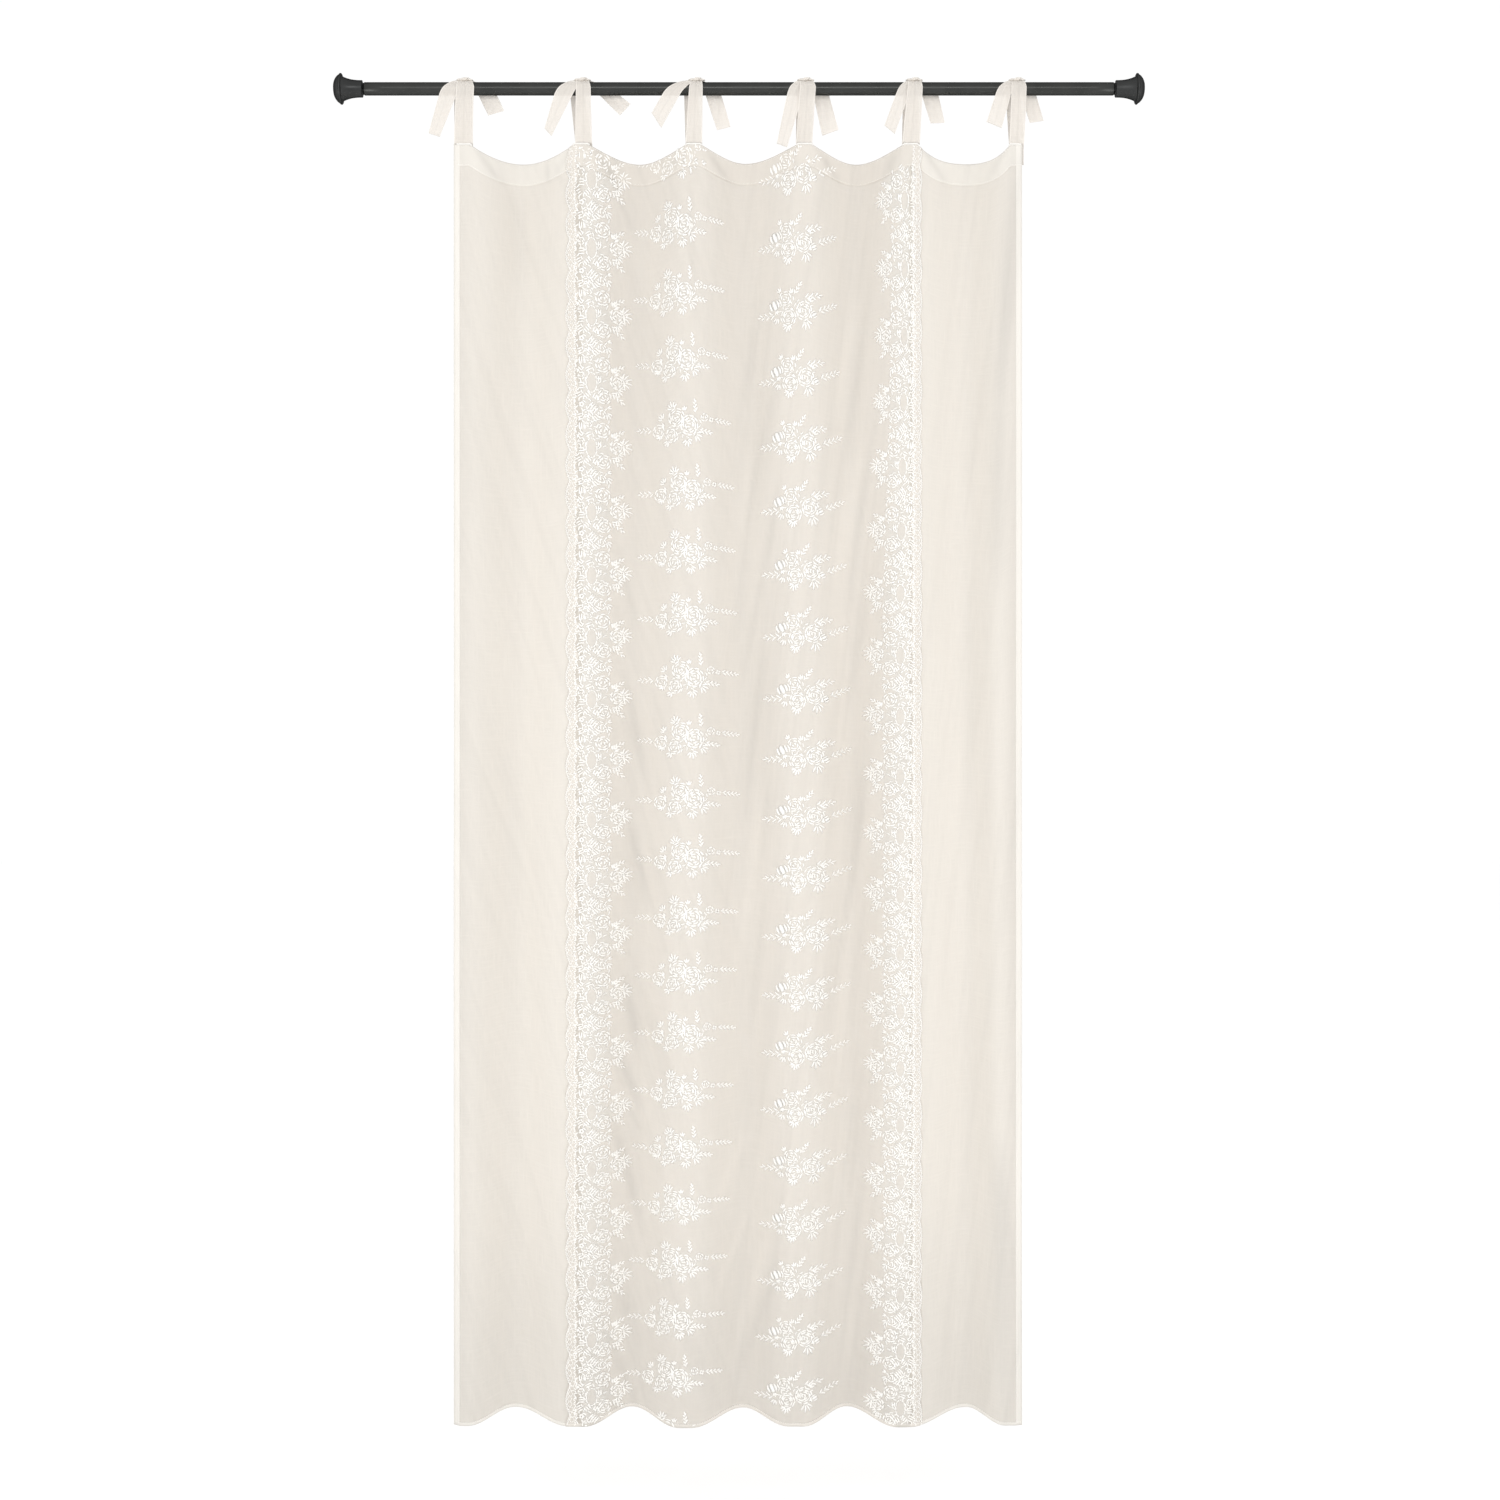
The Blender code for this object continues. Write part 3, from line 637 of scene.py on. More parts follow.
# ------------------------------------------------------------------------ plain voile sides
# The two outer strips of the curtain are plain slub voile. Each has a turned hem down its outer
# side and a narrow rolled one at its foot, and its inner edge lies behind the net's border.
SIDE_COLUMNS = ("name", "node", "outer", "inner")
SIDES = (
    ("voile_side_left", "side_panel_left", -0.6160, -0.3376),
    ("voile_side_right", "side_panel_right", 0.6113, 0.3676),
)
SIDE_HEM = 0.0125
SIDE_STEP = 0.0066
SIDE_ROW = 0.0140
OUTER_EDGES = tuple(row[2] for row in SIDES)

side_material = cloth_material(
    "side_voile", (0.805, 0.759, 0.692), (0.905, 0.870, 0.810),
    covers=(0.67, 0.71), doubled_covers=0.92, thread=0.0013, slub=0.0040, crease_shade=0.030,
)
for row in SIDES:
    side = dict(zip(SIDE_COLUMNS, row))
    inwards = 1 if side["inner"] > side["outer"] else -1
    width = abs(side["inner"] - side["outer"])
    from_outer = stations([0.0, SIDE_HEM, SIDE_HEM + FINE_STEP, width], SIDE_STEP)
    from_outer, share_down = np.meshgrid(from_outer[::inwards], levels_down(SIDE_ROW))
    in_hem = from_outer < SIDE_HEM + FINE_STEP / 2
    in_heading, in_foot = turned_in(share_down)
    doubled = in_hem | in_heading | in_foot
    closed = np.where(in_heading & ~in_hem, HEADING_CLOSED, doubled)
    side_x = side["outer"] + inwards * from_outer
    piece = hung_sheet(side["name"], side_x, share_down, -CLOTH / 2, doubled, closed, side_material)
    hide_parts(side["node"])
    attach(piece, "root")


# --------------------------------------------------------------------------- heading facing
# A strip of the side's voile, 47 mm deep, backs the scalloped top edge of all three widths. Its
# foot is stitched down through them.
BAND_STEP = 0.0070
BAND_TOP = 0.0012
BAND_HEM = 0.0030

band_material = cloth_material(
    "band_cloth", (0.810, 0.765, 0.698), (0.960, 0.925, 0.870),
    covers=(0.80, 0.86), doubled_covers=0.97, thread=0.0013, slub=0.0040,
)
band_stops = [BAND_TOP, HEADING_DEPTH - BAND_HEM - FINE_STEP, HEADING_DEPTH - BAND_HEM, HEADING_DEPTH]
band_x, band_drop = np.meshgrid(stations(OUTER_EDGES, BAND_STEP), stations(band_stops, BAND_STEP))
band_closed = band_drop > HEADING_DEPTH - BAND_HEM - FINE_STEP / 2
band = hung_sheet(
    "heading_facing", band_x, band_drop / DROP, -LAYER - CLOTH / 2, False, band_closed, band_material
)
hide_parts("heading_band")
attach(band, "root")


# --------------------------------------------------------------------- embroidered sprays
# Satin stitch in cream thread. Every petal, leaf and stem is one raised stroke of stitches on
# the face of the net. Two columns of sprays run down it, roses and leaves with a bud and a
# sprig to each side.
STROKE_COLUMNS = ("x", "z", "turn", "length", "width", "bend", "rise")
STROKE_SHARES = np.array([-0.32, 0.0, 0.32])
STROKE_RISE = 0.0007
STROKE_SINK = 0.0002
STROKE_POINTS = 14
STEM_WIDTH = 0.0011
LEAF_WIDTH = 0.0044
PETAL_PITCH = 0.0051
PETAL_ARC = 0.90
PETAL_LAP = 0.0015
PETAL_LEAN = 0.10
PETAL_BREADTH = 0.86
RING_TURN = 0.37
GOLDEN_TURN = 2.39996
SPRIG_LEAN = 0.66
SMALL_LEAF = (0.0100, 0.0031)
SMALL_LEAF_BEND = 0.12
SMALL_LEAF_RISE = 0.6 * STROKE_RISE
EDGE_CLEARANCE = 0.004
MM = 0.001


def strokes(x, z, turn, length, width, bend=0.0, rise=STROKE_RISE):
    """Rows of STROKE_COLUMNS, one for each of the values given as arrays."""
    columns = np.broadcast_arrays(x, z, turn, length, width, bend, rise)
    return np.stack([np.ravel(column) for column in columns], -1).astype(float)


def onwards(x, z, turn, reach):
    """The x and z of the point that lies reach metres from x, z in the direction turn."""
    return x + reach * np.cos(turn), z + reach * np.sin(turn)


def rose(x, z, turn, size, petals):
    """Rings of petals, PETAL_PITCH apart and each an arc of its ring's circle: a chord with a
    bend. The outer ring has that many petals, and the others as many as their circle holds."""
    rings = max(1, round(size / PETAL_PITCH))
    parts = []
    for ring in range(rings):
        share = (ring + 0.5) / rings
        count = max(2, round(petals * share / (1.0 - 0.5 / rings)))
        angle = turn + 2.0 * np.pi * (np.arange(count) + RING_TURN * ring) / count
        half_arc = PETAL_ARC * np.pi / count
        chord = 2.0 * share * size * np.sin(half_arc) + PETAL_LAP
        bend = share * size * (1.0 - np.cos(half_arc)) / chord
        middle = onwards(x, z, angle, share * size * (1.0 + np.cos(half_arc)) / 2.0)
        lean = angle - np.pi / 2 + PETAL_LEAN
        parts.append(strokes(*middle, lean, chord, PETAL_BREADTH * size / rings, bend, 1.2 * STROKE_RISE))
    return np.concatenate(parts)


def fan(x, z, turn, size, leaves):
    """Leaves that spread from one point, 0.5 radians apart, a tenth shorter step by step to both
    sides. Each starts 0.18 of its length away from the point."""
    from_middle = np.arange(leaves) - (leaves - 1) / 2.0
    angle = turn + 0.50 * from_middle
    length = size * (1.0 - 0.10 * np.abs(from_middle))
    return strokes(*onwards(x, z, angle, 0.58 * length), angle, 0.80 * length, LEAF_WIDTH, 0.08)


def sprig(x, z, turn, size, pairs):
    """A stem of length size with leaves at both sides by turns, shorter towards its tip, and a
    leaf on the tip."""
    parts = [strokes(*onwards(x, z, turn, 0.5 * size), turn, size, STEM_WIDTH)]
    length = 1.02 * size / pairs * (1.1 - 0.3 * np.arange(pairs) / pairs)
    for lean, ahead in ((SPRIG_LEAN, 0.15), (-SPRIG_LEAN, 0.50)):
        foot = onwards(x, z, turn, size * (np.arange(pairs) + ahead) / pairs)
        middle = onwards(*foot, turn + lean, 0.55 * length)
        parts.append(strokes(*middle, turn + lean, length, LEAF_WIDTH, -0.10 * np.sign(lean)))
    tip = onwards(x, z, turn, size + 0.4 * length[-1])
    parts.append(strokes(*tip, turn, length[-1], LEAF_WIDTH))
    return np.concatenate(parts)


def bud(x, z, turn, size, sepals):
    """A closed flower: a full middle petal, one wrapped round each side, and sepals behind."""
    petals = [strokes(x, z, turn, 1.8 * size, 1.00 * size, 0.0, 1.3 * STROKE_RISE)]
    for lean in (1.0, -1.0):
        middle = onwards(x, z, turn + np.pi / 2, 0.58 * lean * size)
        petals.append(strokes(*middle, turn, 1.5 * size, 0.50 * size, 0.10 * lean, 1.7 * STROKE_RISE))
    base = onwards(x, z, turn + np.pi, 0.7 * size)
    return np.concatenate([*petals, fan(*base, turn + np.pi, 0.9 * size, sepals)])


def filling(x, z, turn, size, leaves):
    """Small leaves on a spiral, a golden turn apart, that fill an ellipse 0.55 as tall as wide."""
    number = np.arange(leaves)
    reach = size * np.sqrt((number + 0.5) / leaves)
    angle = turn + GOLDEN_TURN * number
    middle = x + reach * np.cos(angle), z + 0.55 * reach * np.sin(angle)
    return strokes(*middle, 1.7 * angle, *SMALL_LEAF, SMALL_LEAF_BEND, SMALL_LEAF_RISE)


def layout(rows):
    """The strokes of a motif from its table of forms, in metres about the motif's middle."""
    return np.concatenate([
        form(x * MM, z * MM, math.radians(turn), size * MM, count) for form, x, z, turn, size, count in rows
    ])


# Each row is a form, its middle or foot in millimetres from the spray's middle, the degrees that
# it points anticlockwise of right, its size in millimetres, and its petals, leaves or pairs.
SPRAY_ON_LEFT = (
    (filling, 0, -2, 0, 44, 30),
    (rose, -18, 18, 20, 20, 8),
    (rose, 13, 2, 70, 22, 9),
    (rose, -30, -18, 150, 15, 6),
    (rose, -62, -7, 40, 15, 6),
    (fan, -58, -12, 245, 15, 4),
    (sprig, -77, -2, 181, 34, 3),
    (fan, -50, 15, 128, 17, 4),
    (fan, -26, 34, 108, 20, 5),
    (fan, 2, 29, 92, 13, 3),
    (sprig, 29, 26, 98, 24, 3),
    (rose, 49, 18, 0, 9, 5),
    (rose, 65, 14, 30, 6, 4),
    (sprig, 71, 14, -5, 36, 4),
    (sprig, 36, -8, -8, 27, 3),
    (fan, 26, -15, -36, 22, 4),
    (fan, 7, -24, -80, 20, 5),
    (fan, -37, -27, -135, 16, 3),
    (fan, -46, 2, 160, 12, 3),
)
SPRAY_ON_RIGHT = (
    (filling, 0, 0, 40, 42, 28),
    (rose, -26, 22, 40, 15, 6),
    (rose, -18, -15, 100, 19, 8),
    (rose, 21, -3, 10, 20, 8),
    (bud, -52, 10, 112, 13, 3),
    (sprig, -48, -8, 183, 38, 3),
    (fan, -45, -12, 250, 17, 3),
    (fan, -36, 33, 125, 13, 3),
    (sprig, -4, 28, 54, 26, 3),
    (fan, -8, 29, 108, 14, 3),
    (sprig, 20, 21, 9, 38, 3),
    (fan, 32, 13, 42, 17, 3),
    (bud, 46, -10, 25, 8, 3),
    (sprig, 55, -5, 22, 46, 4),
    (fan, -20, -28, -105, 18, 5),
    (fan, 24, -19, -76, 25, 4),
)
SPRAY_STOPS = (1.0, 4.0, 7.0, 10.0, 13.0, 16.0, 19.0)
SPRAYS = (
    ("sprays_on_left", SPRAY_ON_LEFT, 0.0, (-0.1290, -0.1134, -0.1087, -0.1093, -0.1163, -0.1263, -0.1407)),
    ("sprays_on_right", SPRAY_ON_RIGHT, 0.0335, (0.1225, 0.1345, 0.1437, 0.1450, 0.1408, 0.1330, 0.1202)),
)
# The painted shade on the net round a spray: its size and its share.
SPRAY_GROUND = (0.062, 0.034)
SPRAY_EMBROIDERY_SHADE = 0.7
REPEATS = 20
SPRAY_WIDE = ((0.0, 9.0, REPEATS), (0.84, 0.985, 0.91))
THREAD_CELL = (0.0080, 0.0005)
THREAD_RANGE = (0.35, 0.62)
THREAD_BUMP = (0.5, 0.0002)


def placed(motif, x_middle, z_middle, wide, tall, mirror=1.0):
    """A motif's strokes at every middle, wide and tall times its size. A stroke's length and
    turn follow the stretch: its run is (wide cos turn, tall sin turn)."""
    x_middle, z_middle, wide, tall = (
        np.asarray(part)[:, None] for part in np.broadcast_arrays(x_middle, z_middle, wide, tall)
    )
    x, z, turn, length, width, bend, rise = np.moveaxis(motif[None], -1, 0)
    run_x, run_z = mirror * wide * np.cos(turn), tall * np.sin(turn)
    parts = np.broadcast_arrays(
        x_middle + mirror * wide * x, z_middle + tall * z, np.arctan2(run_z, run_x),
        length * np.hypot(run_x, run_z), width * np.sqrt(wide * tall), bend * mirror, rise,
    )
    return np.stack(parts, -1).reshape(-1, len(STROKE_COLUMNS))


def on_net(found):
    """Those strokes whose middle lies on the net, clear of its edges."""
    x, z = found[:, 0], found[:, 1]
    inside = (x > NET_EDGES[0] - SWELLS[0]) & (x < NET_EDGES[1] + SWELLS[1])
    inside &= (z < heading_z(x) - EDGE_CLEARANCE) & (z > hem_z(x) + EDGE_CLEARANCE)
    return found[inside]


def ball_faces(rings, sides):
    """Faces of rings of points that are closed at both ends by a pole: pole, rings, pole. Quads
    between the rings come first, then the triangles round the poles."""
    here = np.arange(sides)
    after = np.roll(here, -1)
    start = 1 + sides * np.arange(rings)
    quads = [np.stack([s + here, s + after, s + sides + after, s + sides + here], -1) for s in start[:-1]]
    first = np.stack([np.zeros(sides, int), 1 + after, 1 + here], -1)
    last = np.stack([np.full(sides, 1 + sides * rings), start[-1] + here, start[-1] + after], -1)
    return np.concatenate(quads), np.concatenate([first, last])


def stroke_mesh(found):
    """The strokes' points as x, z and height, and their faces. A stroke's middle line is a
    parabola, its breadth falls as (1 - (2 share)^2)^0.6 to a point at both ends, and four
    corners at each of three places give it a crown."""
    x, z, turn, length, width, bend, rise = (column[:, None] for column in found.T)
    along = length * STROKE_SHARES
    side = bend * length * (1.0 - 4.0 * STROKE_SHARES**2)
    slope = -8.0 * bend * STROKE_SHARES
    breadth = 0.5 * width * (1.0 - (2.0 * STROKE_SHARES) ** 2) ** 0.6
    lean = np.sqrt(1.0 + slope**2)
    corner_side = np.array([1.0, 0.0, -1.0, 0.0])
    along = along[..., None] - corner_side * (breadth * slope / lean)[..., None]
    side = side[..., None] + corner_side * (breadth / lean)[..., None]
    crown = (1.0 - (2.0 * STROKE_SHARES) ** 2)[:, None] * np.array([0.0, 1.0, 0.0, 0.0])
    height = rise[..., None] * crown - STROKE_SINK * np.array([0.0, 0.0, 0.0, 1.0])
    count = len(found)
    still = np.zeros((count, 1))
    along, side, height = (
        np.concatenate([-end, part.reshape(count, -1), end], 1)
        for end, part in ((length / 2.0, along), (still, side), (still, height))
    )
    point_x = x + along * np.cos(turn) - side * np.sin(turn)
    point_z = z + along * np.sin(turn) + side * np.cos(turn)
    shift = STROKE_POINTS * np.arange(count)[:, None, None]
    faces = [(block + shift).reshape(-1, block.shape[-1]) for block in ball_faces(len(STROKE_SHARES), 4)]
    return np.stack([point_x, point_z, height], -1).reshape(-1, 3), faces, along, side


def stitched(name, found, out, material):
    """Strokes as one mesh on the curtain's cloth, standing out metres in front of its middle.
    Its cloth map is metres along and across every stroke."""
    points, faces, along, side = stroke_mesh(found)
    x, z, height = points.T
    piece = new_piece(name, on_cloth(x, z, out + height), faces, material)
    add_cloth_maps(piece, side.ravel(), along.ravel(), np.zeros(len(points)))
    return piece


def thread_material(name, colour, shaded, roughness):
    """Satin stitch: fine parallel threads across the stroke, as noise stretched on its map."""
    material, tree, shader = new_material(name, roughness, specular=0.35)
    threads = streaks(tree, *THREAD_CELL)
    even = spread(tree, threads, *THREAD_RANGE)
    tree.links.new(blended(tree, even, shaded, colour), shader.inputs["Base Color"])
    add_bump(tree, shader, threads, *THREAD_BUMP)
    shader.inputs["Sheen Weight"].default_value = 0.2
    return material


thread = thread_material("satin_thread", (0.945, 0.928, 0.893), (0.912, 0.892, 0.855), 0.55)
NET_FACE = NET_OUT + NET_HALF_THICKNESS
numbers = np.arange(-1, REPEATS + 1, dtype=float)
pitch = (repeat_z(numbers - 0.5) - repeat_z(numbers + 0.5)) / REPEAT
ground = np.empty((len(net.data.vertices), 3))
net.data.vertices.foreach_get("co", ground.reshape(-1))
ground_x, ground_z = ground[:, 0], ground[:, 2]
embroidery_shade = np.zeros(len(ground))
for name, rows, lower, x_stops in SPRAYS:
    x_line = np.interp(numbers, SPRAY_STOPS, x_stops)
    wide = np.interp(numbers, *SPRAY_WIDE)
    z_line = repeat_z(numbers, lower)
    found = on_net(placed(layout(rows), x_line, z_line, wide, pitch))
    # Painted shade on the net round every spray.
    for x_spray, z_spray in zip(x_line, z_line):
        reach = np.hypot((ground_x - x_spray) / SPRAY_GROUND[0], (ground_z - z_spray) / SPRAY_GROUND[1])
        embroidery_shade = np.maximum(embroidery_shade, SPRAY_EMBROIDERY_SHADE * np.exp(-(reach**4)))
    piece = stitched(name, found, NET_FACE, thread)
    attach(piece, "root")


# ------------------------------------------------------------------------- lace borders
# Along both sides the net carries a border of the same satin stitch, sewn down with it over the
# plain voile. A cord, a row of loops and a zigzag follow its scalloped edge. Each repeat has an
# oval opening between roses, and a rose with a fan of leaves that reaches inwards.
OVAL_PLACE = 0.047
OVAL_SHAPE = 0.54
OVAL_FREE = 0.024
OVAL_RIM = 0.0032
BAR_PITCH = 0.0051
BAR_WIDTH = 0.0037
BAR_BEND = 0.05
STREWN_LEAF = (0.0105, 0.0033)


def ringed(x, z, half_wide, half_tall, count, width):
    """Bent strokes end to end round an ellipse, each a tenth longer than its share of it."""
    angle = 2.0 * np.pi * np.arange(count) / count
    run_x, run_z = -half_wide * np.sin(angle), half_tall * np.cos(angle)
    chord = 1.10 * 2.0 * np.pi / count * np.hypot(run_x, run_z)
    middle = x + half_wide * np.cos(angle), z + half_tall * np.sin(angle)
    return strokes(*middle, np.arctan2(run_z, run_x), chord, width, -1.1 / count)


def oval(x, z, turn, size, count):
    """The rim of an opening of half height size, OVAL_SHAPE as wide as it is tall."""
    return ringed(x, z, OVAL_SHAPE * size, size, count, OVAL_RIM)


def ladder(x, z, turn, size, bars):
    """Parallel strokes of length size, side by side across the way that they point."""
    place = BAR_PITCH * (np.arange(bars) - (bars - 1) / 2.0)
    return strokes(*onwards(x, z, turn + np.pi / 2, place), turn, size, BAR_WIDTH, BAR_BEND)


def strewn(x, z, turn, size, leaves):
    """Small leaves that fill a strip size tall and 0.56 as wide, by steps of 0.755 and 0.570 of
    its width and height, and leave the oval in its middle free."""
    number = np.arange(leaves)
    side = 0.56 * size * ((0.755 * number) % 1.0 - 0.5)
    up = size * ((0.570 * number) % 1.0 - 0.5)
    free = np.hypot((side + x - OVAL_PLACE) / OVAL_SHAPE, up) > OVAL_FREE
    turns = turn + GOLDEN_TURN * number[free]
    return strokes(x + side[free], z + up[free], turns, *STREWN_LEAF, SMALL_LEAF_BEND, SMALL_LEAF_RISE)


BORDER_REPEAT = (
    (strewn, 46, 0, 0, 128, 66),
    (oval, 47, 0, 0, 19, 12),
    (rose, 70, 36, 0, 16, 7),
    (rose, 73, -27, 30, 15, 6),
    (filling, 104, 4, 0, 22, 12),
    (rose, 100, 5, 10, 16, 7),
    (fan, 110, 7, 0, 27, 6),
    (sprig, 86, 22, 30, 27, 3),
    (sprig, 86, -16, -36, 30, 3),
    (fan, 98, -10, -55, 19, 4),
    (fan, 92, 18, 62, 18, 4),
    (rose, 68, -61, 0, 9, 5),
    (fan, 76, -58, -48, 17, 3),
    (fan, 78, -50, 20, 12, 2),
    (ladder, 51, -50, 50, 20, 4),
    (ladder, 43, -64, -50, 14, 3),
    (rose, 42, 49, 0, 8, 5),
    (ladder, 41, 27, 25, 16, 2),
    (ladder, 27, 44, 90, 17, 3),
    (ladder, 22, 27, -45, 13, 3),
    (rose, 25, 13, 0, 8, 5),
    (ladder, 26, -6, 0, 15, 3),
    (ladder, 38, -25, -50, 14, 3),
    (ladder, 22, -25, 30, 13, 3),
    (rose, 26, -43, 0, 7, 5),
    (rose, 35, -61, 90, 9, 5),
    (ladder, 57, -28, 62, 14, 3),
    (ladder, 64, 8, 90, 14, 2),
    (ladder, 23, 62, 20, 12, 3),
    (ladder, 56, 60, -40, 14, 3),
)
BORDER_COLUMNS = ("name", "edge", "inwards", "lower", "closing", "scallop_start", "swell", "wide")
BORDER_STOPS = (0.0, 2.0, 5.0)
BORDERS = (
    ("lace_border_left", NET_EDGES[0], 1, 0.0478, 0.0004, SWELL_STARTS[0], SWELLS[0], (1.0, 1.0, 1.0)),
    ("lace_border_right", NET_EDGES[1], -1, 0.0937, 0.0016, SWELL_STARTS[1], SWELLS[1], (0.70, 0.75, 0.90)),
)
BORDER_TOP = -0.11
BORDER_OVERRUN = 0.03
CORD_PLACE = 0.0014
CORD_STEP = 0.0052
CORD_STROKE = (1.5 * CORD_STEP, 0.0024)
CORD_LEAN = 0.35
LOOP_TOP = -0.118
LOOP_PITCH = 0.0112
LOOP_HALF_SIZE = (0.0038, 0.0042)
LOOP_WIDTH = 0.0023
LOOP_STROKES = 6
LOOP_PLACE = 0.0083
ZIGZAG_PLACE = 0.0150
ZIGZAG_SWELL = 0.5
ZIGZAG_STEP = 0.0048
ZIGZAG_STROKE = (0.0072, 0.0028)
ZIGZAG_LEAN = 0.85
# How far the painted shade on the net reaches within the border and how it fades, how much less of it lies
# in the oval, and how much less in the heading.
BORDER_REACH = (0.074, 0.040)
REACH_PEAK = 5.0
REACH_FADE = 0.020
STRIP_FADE = 0.010
OVAL_GROUND = (0.012, 0.020)
OVAL_CLEARED = 0.6
HEADING_EMBROIDERY_SHADE = 0.45


def down_the_net(x_of_z, step, stroke, lean):
    """A row of strokes of that length and width from heading to hem along the line x = x_of_z(z)."""
    z = np.arange(BORDER_TOP, BORDER_TOP - DROP - BORDER_OVERRUN, -step)
    turn = np.arctan2(np.full_like(z, -2 * step), x_of_z(z - step) - x_of_z(z + step)) + lean
    return strokes(x_of_z(z), z, turn, *stroke)


for row in BORDERS:
    border = dict(zip(BORDER_COLUMNS, row))
    inwards = border["inwards"]

    def edge_at(z, inside, share=1.0):
        """x on the line inside metres within the edge, which follows that share of its swell."""
        swell = share * scallop(z, border["scallop_start"], border["swell"])
        return border["edge"] + inwards * (inside - swell)

    z_repeats = repeat_z(numbers, border["lower"]) + border["closing"] * numbers
    wide = np.interp(numbers, BORDER_STOPS, border["wide"])
    repeats = placed(layout(BORDER_REPEAT), border["edge"], z_repeats, wide, pitch, inwards)
    cord = down_the_net(lambda z: edge_at(z, CORD_PLACE), CORD_STEP, CORD_STROKE, CORD_LEAN)
    loop_z = np.arange(LOOP_TOP, BORDER_TOP - DROP, -LOOP_PITCH)
    loop = ringed(0.0, 0.0, *LOOP_HALF_SIZE, LOOP_STROKES, LOOP_WIDTH)
    loops = placed(loop, edge_at(loop_z, LOOP_PLACE), loop_z, 1.0, 1.0)
    zigzag = down_the_net(lambda z: edge_at(z, ZIGZAG_PLACE, ZIGZAG_SWELL), ZIGZAG_STEP, ZIGZAG_STROKE, 0.0)
    zigzag[:, 2] += np.where(np.arange(len(zigzag)) % 2, ZIGZAG_LEAN, -ZIGZAG_LEAN)
    found = on_net(np.concatenate([repeats, cord, loops, zigzag]))

    # Painted shade on the net within the border, less in the oval opening.
    step_down = np.interp(-ground_z, -z_repeats, numbers)
    from_repeat = step_down - np.round(step_down)
    from_edge = inwards * (ground_x - border["edge"]) / np.interp(step_down, BORDER_STOPS, border["wide"])
    peak = np.clip(1.0 - REACH_PEAK * np.abs(from_repeat), 0.0, 1.0)
    reach = BORDER_REACH[0] + BORDER_REACH[1] * peak
    in_oval = np.hypot((from_edge - OVAL_PLACE) / OVAL_GROUND[0], from_repeat * REPEAT / OVAL_GROUND[1])
    ground_share = half_wave((reach - from_edge) / REACH_FADE)
    ground_share *= half_wave((from_edge - EDGE_STRIP) / STRIP_FADE)
    embroidery_shade = np.maximum(embroidery_shade, ground_share * (1.0 - OVAL_CLEARED * np.exp(-(in_oval**4))))
    piece = stitched(border["name"], found, NET_FACE, thread)
    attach(piece, "root")
# Less painted shade in the heading.
embroidery_shade *= np.where(ground_z > heading_z(ground_x) - HEADING_DEPTH, HEADING_EMBROIDERY_SHADE, 1.0)
add_share(net, "embroidery_shade", embroidery_shade)


# ---------------------------------------------------------------------- machine stitching
# Lockstitch in the cloth's colour: along the top edge, the foot of the facing and the foot hem
# of all three widths, and down both side hems. A row of close upright stitches over the heading's
# edge tacks every tie down.
STITCH = 0.0036
STITCH_WIDTH = 0.0008
STITCH_SHARE = 0.82
TOP_STITCH = 0.0030
FACING_STITCH = HEADING_DEPTH - 0.0025
FOOT_STITCH = DROP - FOOT_HEM - 0.0010
SIDE_STITCH = SIDE_HEM - 0.0012
TACK_HALF_WIDTH = 0.0178
TACK_COUNT = 21
TACK_RISE = 0.0005
TACK_TALL = 0.0046
TACK_WIDTH = 0.0024


def stitch_row(x, drop):
    """Stitches end to end through the points at x that hang drop below the heading."""
    z = cloth_z(x, drop / DROP)
    turn = np.arctan2(np.gradient(z), np.gradient(x))
    return strokes(x, z, turn, STITCH_SHARE * STITCH, STITCH_WIDTH, 0.0, 0.5 * STROKE_RISE)


stitch_x = np.arange(OUTER_EDGES[0] + STITCH, OUTER_EDGES[1], STITCH)
rows = [stitch_row(stitch_x, drop) for drop in (TOP_STITCH, FACING_STITCH, FOOT_STITCH)]
stitch_drop = np.arange(STITCH, DROP - STITCH, STITCH)
for x_hem in (OUTER_EDGES[0] + SIDE_STITCH, OUTER_EDGES[1] - SIDE_STITCH):
    rows.append(stitch_row(np.full_like(stitch_drop, x_hem), stitch_drop))
tack_x = fold["x_heading"][1::2, None] + np.linspace(-TACK_HALF_WIDTH, TACK_HALF_WIDTH, TACK_COUNT)
tack_x = tack_x[np.abs(tack_x) < OUTER_EDGES[1] - 0.5 * TACK_WIDTH]
rows.append(strokes(tack_x, heading_z(tack_x) + TACK_RISE, 0.5 * np.pi, TACK_TALL, TACK_WIDTH))
rows = np.concatenate(rows)
on_net_face = (rows[:, 0] > NET_EDGES[0]) & (rows[:, 0] < NET_EDGES[1])
face_out = np.where(on_net_face, NET_OUT, -CLOTH / 2) + DOUBLED_HALF_THICKNESS
stitching = stitched("machine_stitching", rows, np.repeat(face_out, STROKE_POINTS), thread)
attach(stitching, "root")


